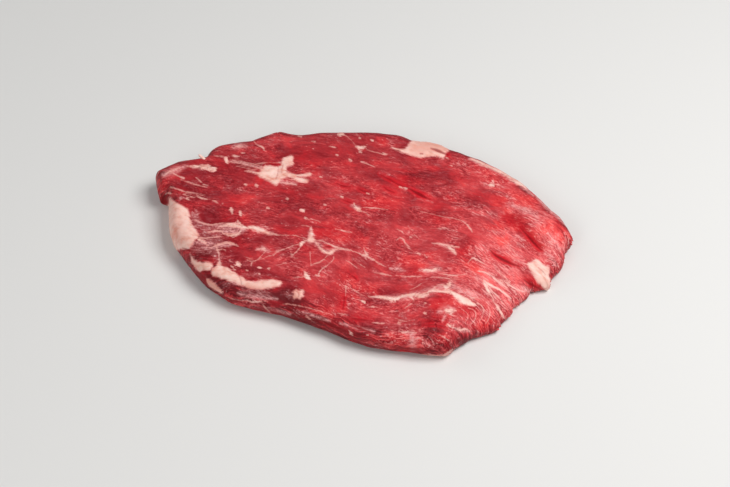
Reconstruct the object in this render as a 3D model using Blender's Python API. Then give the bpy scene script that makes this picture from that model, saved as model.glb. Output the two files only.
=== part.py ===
"""Raw flank steak: one flat oval muscle, trimmed, lying on its flat underside.

Metres, +Z up. X runs along the muscle from its thick, fat-capped end at -X to its thin, ragged end at +X,
and Y across it. The origin is under the middle of the steak, on the surface that it lies on.
"""

import math

import bmesh
import bpy
import numpy as np

# The outline seen from above, counter-clockwise from the tip of the thin end.
FAR_EDGE = [
    (0.1685, 0.0365),
    (0.1545, 0.0565),
    (0.1345, 0.0735),
    (0.0960, 0.0940),
    (0.0580, 0.1035),
    (0.0230, 0.1060),
    (-0.0110, 0.1045),
    (-0.0420, 0.0955),
    (-0.0730, 0.0820),
    (-0.0890, 0.0785),
    (-0.1160, 0.0570),
    (-0.1330, 0.0445),
    (-0.1385, 0.0305),
]
THICK_END = [
    (-0.1560, 0.0150),
    (-0.1665, 0.0010),
    (-0.1580, -0.0145),
    (-0.1480, -0.0205),
    (-0.1365, -0.0450),
    (-0.1185, -0.0655),
]
NEAR_EDGE = [
    (-0.0980, -0.0805),
    (-0.0775, -0.0910),
    (-0.0550, -0.0975),
    (-0.0105, -0.0970),
    (0.0225, -0.1010),
    (0.0545, -0.1030),
    (0.0850, -0.0990),
    (0.1025, -0.0925),
]
RAGGED_END = [
    (0.1165, -0.0775),
    (0.1290, -0.0620),
    (0.1365, -0.0500),
    (0.1405, -0.0370),
    (0.1445, -0.0240),
    (0.1490, -0.0150),
    (0.1595, -0.0085),
    (0.1645, 0.0120),
]
OUTLINE = FAR_EDGE + THICK_END + NEAR_EDGE + RAGGED_END

# How high the top lies over the middle of the steak, and the swells and thinnings that change it:
# (centre x, centre y, reach x, reach y, rise).
MIDDLE_THICKNESS = 0.0215
SWELLS = [
    (-0.165, -0.005, 0.065, 0.080, 0.0065),
    (-0.030, 0.000, 0.090, 0.050, 0.0020),
    (-0.075, -0.085, 0.060, 0.030, 0.0015),
    (0.090, -0.076, 0.024, 0.022, 0.0042),
    (0.146, 0.042, 0.022, 0.018, 0.0025),
    (0.020, 0.110, 0.120, 0.035, -0.0030),
    (0.152, -0.030, 0.045, 0.050, -0.0105),
    (0.035, -0.052, 0.045, 0.014, -0.0016),
    (-0.090, 0.000, 0.045, 0.020, -0.0012),
]

# The edge: how far in from the outline its rounding ends above and below, and how high its widest line is.
TOP_ROUNDING = 0.0135
UNDER_ROUNDING = 0.0080
EDGE_HEIGHT = 0.0095
ROUNDING_POWER = 2.3

# The ragged end is cut across the grain and thins to a low edge: (centre x, centre y, reach).
THINNED_AT = (0.150, -0.030, 0.048)
THINNED_ROUNDING = 0.0190
THINNED_EDGE_HEIGHT = 0.0035
THINNED_SPREAD = 1.5

# Pads of fat that stand proud of the lean: (points along it, half width, rise).
FAT_PADS = [
    ([(-0.143, -0.028), (-0.129, -0.047), (-0.115, -0.061)], 0.0120, 0.0016),
    ([(-0.112, -0.051), (-0.096, -0.039), (-0.063, -0.034), (-0.047, -0.034)], 0.0045, 0.0012),
    ([(-0.104, -0.081), (-0.089, -0.083), (-0.074, -0.087), (-0.052, -0.090), (-0.034, -0.082)], 0.0062, 0.0020),
    ([(-0.096, 0.031), (-0.073, 0.030), (-0.053, 0.031)], 0.0075, 0.0014),
    ([(-0.073, 0.032), (-0.070, 0.044)], 0.0050, 0.0016),
    ([(0.016, 0.087), (0.031, 0.091), (0.046, 0.093)], 0.0065, 0.0010),
    ([(0.141, -0.002), (0.149, -0.007), (0.155, -0.011)], 0.0065, 0.0030),
    ([(0.040, -0.071), (0.060, -0.065), (0.077, -0.053), (0.091, -0.046), (0.106, -0.050)], 0.0040, 0.0013),
    ([(-0.0155, -0.0855), (-0.0145, -0.0865)], 0.0050, 0.0018),
]

# Folds and splits in the lean: (points along it, half width, depth).
FOLDS = [
    ([(0.108, 0.039), (0.128, 0.026), (0.150, 0.012)], 0.0085, 0.0042),
    ([(0.106, 0.003), (0.120, -0.005), (0.141, -0.010)], 0.0040, 0.0028),
    ([(0.011, 0.055), (0.028, 0.050), (0.056, 0.042)], 0.0040, 0.0022),
    ([(-0.017, 0.036), (-0.006, 0.034), (0.009, 0.034)], 0.0035, 0.0016),
    ([(-0.008, 0.019), (0.009, 0.020), (0.034, 0.022)], 0.0035, 0.0014),
    ([(-0.095, -0.070), (-0.060, -0.077), (-0.030, -0.070)], 0.0050, 0.0012),
    ([(0.076, -0.078), (0.084, -0.072), (0.088, -0.060)], 0.0050, 0.0016),
    ([(-0.040, -0.094), (0.010, -0.092), (0.060, -0.093)], 0.0030, 0.0012),
]

# Long low waves in the top: (distance between crests, lean of the crests off the X axis, height).
GRAIN_WAVES = [(0.031, 0.27, 0.00045), (0.019, 0.40, 0.00030), (0.047, 0.10, 0.00050)]

# The crags of the edge, where it is trimmed smooth and where it is torn: (waves round the edge, height).
TRIMMED_CRAGS = [(23, 0.0004), (41, 0.0003)]
TORN_CRAGS = [(31, 0.0009), (47, 0.0008), (73, 0.0007)]
CRAG_WANDER = 1.7
CRAG_WANDER_WAVES = 5
CRAG_SEED = 7

# The mesh: rings of cells from the middle to the rim, and how far in from the rim the rings nearest it lie.
RINGS = 30
TOP_INSETS = [0.0, 0.0006, 0.0019, 0.0039, 0.0066, 0.0101, 0.0145]
UNDER_INSETS = [0.0, 0.0007, 0.0022, 0.0046, 0.0080]
SPLINE_STEPS = 40

LEAN_COLOUR = (0.44, 0.045, 0.050, 1.0)
LEAN_ROUGHNESS = 0.38


def clear_scene():
    for item in list(bpy.data.objects):
        bpy.data.objects.remove(item)


def smooth_loop(points):
    """A closed Catmull-Rom curve through the points, sampled finely."""
    p1 = np.array(points)[:, None, :]
    p0, p2, p3 = np.roll(p1, 1, 0), np.roll(p1, -1, 0), np.roll(p1, -2, 0)
    t = (np.arange(SPLINE_STEPS) / SPLINE_STEPS)[None, :, None]
    slope = (p2 - p0) * t
    bend = (2 * p0 - 5 * p1 + 4 * p2 - p3) * t**2
    twist = (3 * p1 - p0 - 3 * p2 + p3) * t**3
    return (p1 + (slope + bend + twist) / 2).reshape(-1, 2)


def bell(x, y, centre_x, centre_y, reach_x, reach_y):
    return np.exp(-(((x - centre_x) / reach_x) ** 2) - ((y - centre_y) / reach_y) ** 2)


def thinned(x, y):
    """1 at the ragged end, where the steak thins, falling to 0 away from it."""
    centre_x, centre_y, reach = THINNED_AT
    return np.clip(THINNED_SPREAD * bell(x, y, centre_x, centre_y, reach, reach), 0, 1)


def crags(share, waves, rng):
    """Uneven steps in and out along the edge. share runs from 0 to 1 round the outline."""
    wander = CRAG_WANDER * np.sin(2 * math.pi * CRAG_WANDER_WAVES * share)
    total = np.zeros_like(share)
    for count, height in waves:
        total += height * np.sin(2 * math.pi * count * share + rng.uniform(0, 2 * math.pi) + wander)
    return total


class Rim:
    """The steak's outline, read by the share of the way round it from its lower left."""

    def __init__(self):
        curve = smooth_loop(OUTLINE)
        angle = np.arctan2(curve[:, 1], curve[:, 0])
        first = int(np.argmin(np.abs(angle + 0.75 * math.pi)))
        curve = np.roll(curve, -first, 0)
        closed = np.vstack([curve, curve[:1]])
        steps = np.linalg.norm(np.diff(closed, axis=0), axis=1)
        self.share = np.concatenate([[0.0], np.cumsum(steps)]) / steps.sum()
        rng = np.random.default_rng(CRAG_SEED)
        trimmed = crags(self.share, TRIMMED_CRAGS, rng)
        torn = crags(self.share, TORN_CRAGS, rng)
        ragged = thinned(closed[:, 0], closed[:, 1])
        push = trimmed * (1 - ragged) + torn * ragged
        outward = closed / np.linalg.norm(closed, axis=1)[:, None]
        self.points = closed + outward * push[:, None]

    def at(self, share):
        x = np.interp(share, self.share, self.points[:, 0])
        y = np.interp(share, self.share, self.points[:, 1])
        return np.stack([x, y], axis=1)

    def distance(self, x, y):
        """How far each place lies in from the outline."""
        gap_x = x[:, None] - self.points[None, :, 0]
        gap_y = y[:, None] - self.points[None, :, 1]
        return np.sqrt((gap_x**2 + gap_y**2).min(axis=1))


def distance_to_line(x, y, points):
    """Distance in plan from each place to a bent line."""
    place = np.stack([x, y], axis=1)
    nearest = np.full(len(x), np.inf)
    for start, end in zip(np.array(points[:-1]), np.array(points[1:])):
        along = end - start
        t = np.clip((place - start) @ along / (along @ along), 0, 1)
        gap = np.linalg.norm(place - start - t[:, None] * along, axis=1)
        nearest = np.minimum(nearest, gap)
    return nearest


def ridges(x, y, lines):
    """The sum of soft-sided ridges along bent lines."""
    total = np.zeros_like(x)
    for points, half_width, rise in lines:
        total += rise * np.exp(-((distance_to_line(x, y, points) / half_width) ** 2))
    return total


def top_of_lean(x, y):
    """Height of the top away from the edge."""
    height = np.full_like(x, MIDDLE_THICKNESS)
    for centre_x, centre_y, reach_x, reach_y, rise in SWELLS:
        height += rise * bell(x, y, centre_x, centre_y, reach_x, reach_y)
    for spacing, slant, rise in GRAIN_WAVES:
        height += rise * np.sin(2 * math.pi * (y + slant * x) / spacing)
    return height + ridges(x, y, FAT_PADS) - ridges(x, y, FOLDS)


def rounded(share):
    """A quarter of a squared-off circle: 0 at the rim, 1 where the rounding ends."""
    inner = 1 - (1 - np.clip(share, 0, 1)) ** ROUNDING_POWER
    return inner ** (1 / ROUNDING_POWER)


def unfolded_skin():
    """The skin laid out flat: a square grid for the top, grown outward for the underside, which one face closes."""
    skin = bmesh.new()
    bmesh.ops.create_grid(skin, x_segments=2 * RINGS, y_segments=2 * RINGS, size=1.0)
    border = [edge for edge in skin.edges if edge.is_boundary]
    for ring in range(RINGS + 1, RINGS + len(UNDER_INSETS)):
        grown = bmesh.ops.extrude_edge_only(skin, edges=border)["geom"]
        for vert in (item for item in grown if isinstance(item, bmesh.types.BMVert)):
            vert.co *= ring / (ring - 1)
        border = [item for item in grown if isinstance(item, bmesh.types.BMEdge) and item.is_boundary]
    bmesh.ops.contextual_create(skin, geom=border)
    return skin


def share_round_square(u, v, size):
    """How far round its own square a place lies: 0 at the lower left corner, then counter-clockwise to 1."""
    bottom, right, top = v == -size, u == size, v == size
    side = np.select([bottom, right, top], [0, 1, 2], 3)
    along = np.choose(side, [u, v, -u, -v]) / np.maximum(size, 1e-9)
    return (side + (along + 1) / 2) / 4 % 1.0


def place_in_plan(ring, share, rim):
    """Bends each square ring of the skin into a ring of the steak, closest together near the rim."""
    edge_point = rim.at(share)
    radius = np.linalg.norm(edge_point, axis=1)
    last_even_ring = RINGS - len(TOP_INSETS) + 1
    even = (radius - TOP_INSETS[-1]) * ring / last_even_ring
    inset_above = np.interp(RINGS - ring, range(len(TOP_INSETS)), TOP_INSETS)
    inset_below = np.interp(ring - RINGS, range(len(UNDER_INSETS)), UNDER_INSETS)
    near_rim = radius - np.where(ring > RINGS, inset_below, inset_above)
    from_middle = np.where(ring < last_even_ring, even, near_rim)
    return edge_point * (from_middle / radius)[:, None]


def height_above(x, y, rim):
    """Height of the top, rounded down to the widest line at the rim."""
    thin = thinned(x, y)
    edge_height = EDGE_HEIGHT + (THINNED_EDGE_HEIGHT - EDGE_HEIGHT) * thin
    rounding = TOP_ROUNDING + (THINNED_ROUNDING - TOP_ROUNDING) * thin
    return edge_height + (top_of_lean(x, y) - edge_height) * rounded(rim.distance(x, y) / rounding)


def height_below(x, y, rim):
    """Height of the underside: rounded from the rim down to the flat that it lies on."""
    edge_height = EDGE_HEIGHT + (THINNED_EDGE_HEIGHT - EDGE_HEIGHT) * thinned(x, y)
    return edge_height * (1 - rounded(rim.distance(x, y) / UNDER_ROUNDING))


def bend_skin(skin):
    """Moves the flat skin's vertices onto the steak, with the origin under the middle of its box."""
    rim = Rim()
    flat = np.array([vert.co for vert in skin.verts])
    size = np.maximum(np.abs(flat[:, 0]), np.abs(flat[:, 1]))
    ring = np.round(size * RINGS)
    x, y = place_in_plan(ring, share_round_square(flat[:, 0], flat[:, 1], size), rim).T
    z = np.where(ring > RINGS, height_below(x, y, rim), height_above(x, y, rim))
    z[ring == ring.max()] = 0.0
    middle_x = (x.min() + x.max()) / 2
    middle_y = (y.min() + y.max()) / 2
    for vert, spot in zip(skin.verts, np.stack([x - middle_x, y - middle_y, z], axis=1)):
        vert.co = spot


def lean_material():
    material = bpy.data.materials.new("raw_beef")
    material.use_nodes = True
    shader = material.node_tree.nodes["Principled BSDF"]
    shader.inputs["Base Color"].default_value = LEAN_COLOUR
    shader.inputs["Roughness"].default_value = LEAN_ROUGHNESS
    shader.inputs["Metallic"].default_value = 0.0
    return material


def build_steak():
    skin = unfolded_skin()
    bend_skin(skin)
    four_sided = [face for face in skin.faces if len(face.verts) == 4]
    bmesh.ops.triangulate(skin, faces=four_sided, quad_method="SHORT_EDGE")
    bmesh.ops.recalc_face_normals(skin, faces=skin.faces)
    mesh = bpy.data.meshes.new("flank_steak")
    skin.to_mesh(mesh)
    skin.free()
    mesh.materials.append(lean_material())
    mesh.shade_smooth()
    steak = bpy.data.objects.new("flank_steak", mesh)
    bpy.context.scene.collection.objects.link(steak)


clear_scene()
build_steak()
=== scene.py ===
"""The look of a raw flank steak: moist red lean with a long grain, pads and veins of fat, and a torn end.

One fine skin is laid over the frame's solid. Each pad of fat, vein, split and patch of silverskin is drawn
where the photograph shows it, and the marks both shape the skin and drive its material.
"""

import math

import bmesh
import bpy
import numpy as np
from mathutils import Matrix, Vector, geometry
from mathutils.bvhtree import BVHTree


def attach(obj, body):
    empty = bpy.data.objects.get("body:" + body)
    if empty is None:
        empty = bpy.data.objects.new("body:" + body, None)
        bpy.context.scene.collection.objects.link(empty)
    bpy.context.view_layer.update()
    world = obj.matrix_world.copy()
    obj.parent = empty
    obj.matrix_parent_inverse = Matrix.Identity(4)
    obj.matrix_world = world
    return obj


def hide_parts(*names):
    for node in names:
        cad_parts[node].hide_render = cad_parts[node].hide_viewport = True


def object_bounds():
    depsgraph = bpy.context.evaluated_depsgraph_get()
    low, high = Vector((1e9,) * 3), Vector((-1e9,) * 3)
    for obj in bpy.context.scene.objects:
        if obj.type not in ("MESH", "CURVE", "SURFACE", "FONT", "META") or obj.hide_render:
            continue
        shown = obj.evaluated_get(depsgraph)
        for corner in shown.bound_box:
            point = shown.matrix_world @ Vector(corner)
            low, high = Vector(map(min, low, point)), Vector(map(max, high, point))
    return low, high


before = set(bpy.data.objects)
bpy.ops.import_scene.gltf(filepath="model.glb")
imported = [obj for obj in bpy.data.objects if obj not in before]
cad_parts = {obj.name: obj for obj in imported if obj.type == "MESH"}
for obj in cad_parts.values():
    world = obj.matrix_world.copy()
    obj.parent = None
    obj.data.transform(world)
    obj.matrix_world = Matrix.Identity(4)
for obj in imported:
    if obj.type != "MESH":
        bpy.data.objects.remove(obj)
cad_low, cad_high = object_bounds()

# The photograph's frame, and the camera that looks at the steak as it did. Metres and degrees.
PHOTO_WIDTH = 730
PHOTO_HEIGHT = 487
LENS_MM = 85.0
SENSOR_MM = 36.0
CAMERA_AZIMUTH = 18.0
CAMERA_ELEVATION = 48.0
CAMERA_DISTANCE = 1.34
CAMERA_TARGET = Vector((0.0135, -0.0125, 0.010))
FOCAL_PIXELS = LENS_MM / SENSOR_MM * PHOTO_WIDTH
# What a pixel of the photograph spans at the steak.
PIXEL = CAMERA_DISTANCE / FOCAL_PIXELS

# The skin's mesh: square rings of cells from the middle to the rim. The outer ones crowd over the edge.
SKIN_RINGS = 136
RIM_POINTS = 8 * SKIN_RINGS
EDGE_RINGS = 18
EDGE_REACH = 0.0145
SMOOTHING_PASSES = 14
SMOOTHING_SHARE = 0.6
# How far inside the rim each ring under the edge lies. Inside the last of them is a sheet of points: half
# its grid's width, its spacing, the shift of each point in shares of that, and the gap to the ring.
UNDER_INSETS = [0.0003, 0.0008, 0.0016, 0.0027, 0.0041, 0.0059, 0.0080]
UNDER_REACH = 0.18
UNDER_SPACING = 0.0032
UNDER_JITTER = 0.3
UNDER_GAP_MM = 1.4
# How far inside the solid's box the bare skin stays, and over what depth it bends to do so.
BOX_MARGIN = 0.0004
BOX_BEND = 0.0015
# The outline is fitted in this many rounds, at this many points of the photograph's outline. At each of them
# the outermost spot of the edge is looked for within so many pixels along the outline and across it.
FIT_ROUNDS = 3
OUTLINE_POINTS = 700
FIT_ALONG = 1.2
FIT_ACROSS = 8.0
NOTHING_SEEN = -99.0
# Smoothing passes that tell the broad shift of the edge from that of its crags.
BROAD_PASSES = 150
SEED = 11
# The seeded noise repeats after this many features.
NOISE_CELLS = 128

# How far from a drawn mark its distance is still measured, in the photograph's pixels.
REACH = 14.0
# Half the length and fall of a dot of fat, in the same pixels.
DOT_STRETCH = (0.7, 0.2)

# How far marks stand above the lean, and the grain's bundles and swells, in metres.
FAT_RISE = 0.00036
FAT_LUMPS = 0.00014
FAT_FOLDS = 0.00022
LINE_RISE = 0.00016
COARSE_GRAIN = 0.00013
FINE_GRAIN = 0.00010
GRAIN_LUMPS = 0.00020
SLOW_SWELL = 0.00040
# The marks fade out where the skin comes this close to the table.
TABLE_FADE = 0.003

# Strands of fibre stand out where the rim is seen right of and below this pixel.
TORN_END = (494.0, 238.0)
TORN_FIBRES = 26
# The foot and the tip of the scrap of fat that stands up on the far edge, as pixels.
SCRAP_FOOT = np.array([203.8, 158.9])
SCRAP_TIP = np.array([198.2, 154.2])

# The two islands of the baked picture: the underside's scale, and the gap around them in metres.
UNDERSIDE_SCALE = 0.6
ISLAND_GAP = 0.004

# The steak's outline on the photograph, clockwise from its left end, with the notches of the torn end.
PHOTO_OUTLINE = [
    (156.5, 172.5), (160, 170), (170, 165.5), (180, 161.5), (190, 160), (200, 158.5), (207, 157),
    (209, 153.5), (213, 149.5), (220, 146), (230, 144), (240, 142.5), (252, 141), (256, 139.3), (263, 137),
    (270, 134.5), (276, 132.5), (282, 132), (290, 134), (300, 135.3), (310, 134.5), (320, 133.5),
    (345, 132.8), (373, 132.5), (385, 134), (395, 135), (402, 136.5), (408, 139), (413, 141), (420, 142),
    (430, 143), (440, 145.5), (450, 150), (460, 153), (470, 157), (480, 160.5), (490, 165.5), (500, 170.5),
    (510, 177), (520, 183), (530, 191), (540, 200), (550, 209.5), (560, 218), (567, 228), (571, 235),
    (573.8, 241.5), (572.4, 244.2), (570.4, 245.4), (569.4, 248), (569.6, 251), (566, 253), (564, 257),
    (563.3, 262), (561.5, 268), (558, 273), (552.5, 278.5), (549.8, 284), (548.8, 289.5), (544, 290),
    (538, 291), (532, 292), (529, 294), (528, 298), (522, 302), (517, 306), (513, 309), (512.5, 313),
    (508, 318), (502, 323.5), (499, 326), (499, 329), (495, 332), (490, 334), (486, 335), (480, 337),
    (473, 338.5), (468, 340), (466, 342.5), (463, 343.5), (459, 346), (454, 349), (450, 353), (446, 355),
    (440, 355.4), (430, 355), (420, 354), (408, 352), (390, 350.3), (370, 347), (360, 344), (350, 341),
    (340, 336.5), (330, 332.5), (318, 328.5), (305, 323.5), (290, 318), (280, 315), (265, 312),
    (248, 308.5), (232, 303.5), (219, 295), (208, 287.5), (197, 276), (189, 266), (180, 254.5),
    (174, 244.5), (170, 230), (169, 215), (168.2, 206), (163, 204.5), (160, 200), (157.5, 192), (156, 183),
    (155.8, 177),
]

# Pads of fat, as outlines on the photograph.
FAT_PADS = {
    "end pad": [
        (169, 197), (173, 199.5), (176, 202), (180, 204.5), (185, 207), (188, 209), (189, 213), (190, 217),
        (191, 221), (193, 225), (194.5, 228), (197, 232), (199, 236), (198, 238.5), (195, 241),
        (192, 245.5), (189, 248.5), (185, 249.5), (181, 249.5), (178, 250.5), (173, 250.5), (165, 240),
        (165, 208), (168.5, 204),
    ],
    "low band": [
        (212, 268.5), (216, 266), (218.6, 261.8), (221, 265), (225, 267.2), (228, 268), (231, 270.8),
        (235, 272.6), (238, 275.4), (243, 277.3), (246, 280), (251, 281), (256, 282), (261, 280.2),
        (266, 280.4), (272, 279.2), (276, 280.4), (280.5, 280.8), (282, 283), (279.6, 286), (276, 287),
        (272, 289), (266, 288.6), (261, 290), (255, 289.2), (249, 288.8), (244, 286.2), (239, 285.6),
        (235, 283), (230, 281.8), (226, 279.6), (221, 279), (217, 276.6), (213, 276), (211.4, 272),
    ],
    "band's small pad": [
        (190, 253), (193, 258), (196, 260), (199, 262), (208, 262.5), (212, 264), (213, 267), (211, 270),
        (207, 270.5), (203, 270), (200, 272), (197, 269), (194, 266), (192, 262),
    ],
    "star": [
        (260.5, 171), (260, 168.9), (262.6, 168.2), (263.4, 166.4), (267, 165.6), (270, 164.9),
        (273.5, 165.7), (278.5, 166.3), (281, 164.3), (281.6, 161.6), (283, 159.2), (284, 157.2),
        (287.3, 156.8), (291, 155.6), (293.4, 157), (292.8, 160.4), (293.9, 163.4), (291, 165.6),
        (288, 166), (286.6, 168.4), (287, 171.6), (290, 172.6), (296, 174.4), (304, 173.6), (309.5, 172.3),
        (311.6, 174.4), (309, 176), (303, 176.7), (297, 176.9), (304, 178), (308.6, 180.4), (307, 182.2),
        (301, 182.4), (296, 180.6), (291, 178.2), (286, 177.6), (281.5, 180), (278.8, 183), (276.6, 185.3),
        (273.5, 184.4), (270, 182.2), (266, 180.4), (262.3, 178.6), (259, 176.6), (257, 174.2),
        (251, 172.7), (245, 171), (251, 170.6), (257.5, 171.8),
    ],
    "far edge": [
        (391, 147.3), (399, 149), (404, 149), (407, 147), (409, 144), (413, 140), (420, 139), (430, 139),
        (440, 143), (449, 150), (446, 153.5), (444, 158.5), (438, 157), (432, 156.5), (428, 157),
        (422, 158), (418, 157.5), (412, 156), (405, 154), (400, 152), (395, 150),
    ],
    "thin end chunk": [
        (527, 263), (531, 262), (535, 259.5), (538, 259.5), (541, 262), (544, 265), (548, 268),
        (549.5, 271), (549, 276), (550.5, 280), (549, 292), (546, 292), (542, 286.5), (538, 283),
        (535, 279), (532, 273), (529, 268),
    ],
    "vein knot": [
        (311, 226.5), (312.3, 229), (313, 233), (314.5, 238), (316.5, 241), (312, 242.3), (309, 242.3),
        (307, 240.7), (308.3, 236), (309.3, 232),
    ],
    "second knot": [
        (320, 248), (324, 250.5), (328, 252.5), (331, 250.5), (334, 249.3), (338, 249), (335, 251.5),
        (331.5, 254.3), (328, 255), (324, 253), (321, 250),
    ],
    "long streak's wedge": [
        (248, 226.8), (252, 225.8), (258, 226.6), (264, 229.4), (270, 232.8), (277, 234.8), (270, 235.2),
        (266, 234.6), (263, 233.2), (259, 232.7), (256, 231), (252, 230), (248.5, 228.8),
    ],
    "lower right wedge": [
        (450, 291), (455, 292.7), (460, 294.7), (464, 296.7), (468, 298), (470, 300), (474, 303),
        (476.5, 305.3), (473, 306.3), (468, 305.7), (463, 304.2), (459, 302), (456, 299), (452, 295),
    ],
    "ball": [
        (292.4, 291.6), (294.8, 290.4), (296.4, 288.8), (299.4, 290.6), (303, 289.4), (304.4, 292),
        (302.6, 294), (304, 296.6), (301.2, 297.6), (300, 300.2), (297.4, 298.6), (294.8, 299),
        (293.2, 296.4), (294, 293.8),
    ],
    "near flap": [
        (207, 278.5), (211, 280), (215, 284), (219, 287), (222.5, 290.5), (222, 293), (217, 291),
        (213, 288.5), (209, 285), (206, 281.5),
    ],
}

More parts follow.
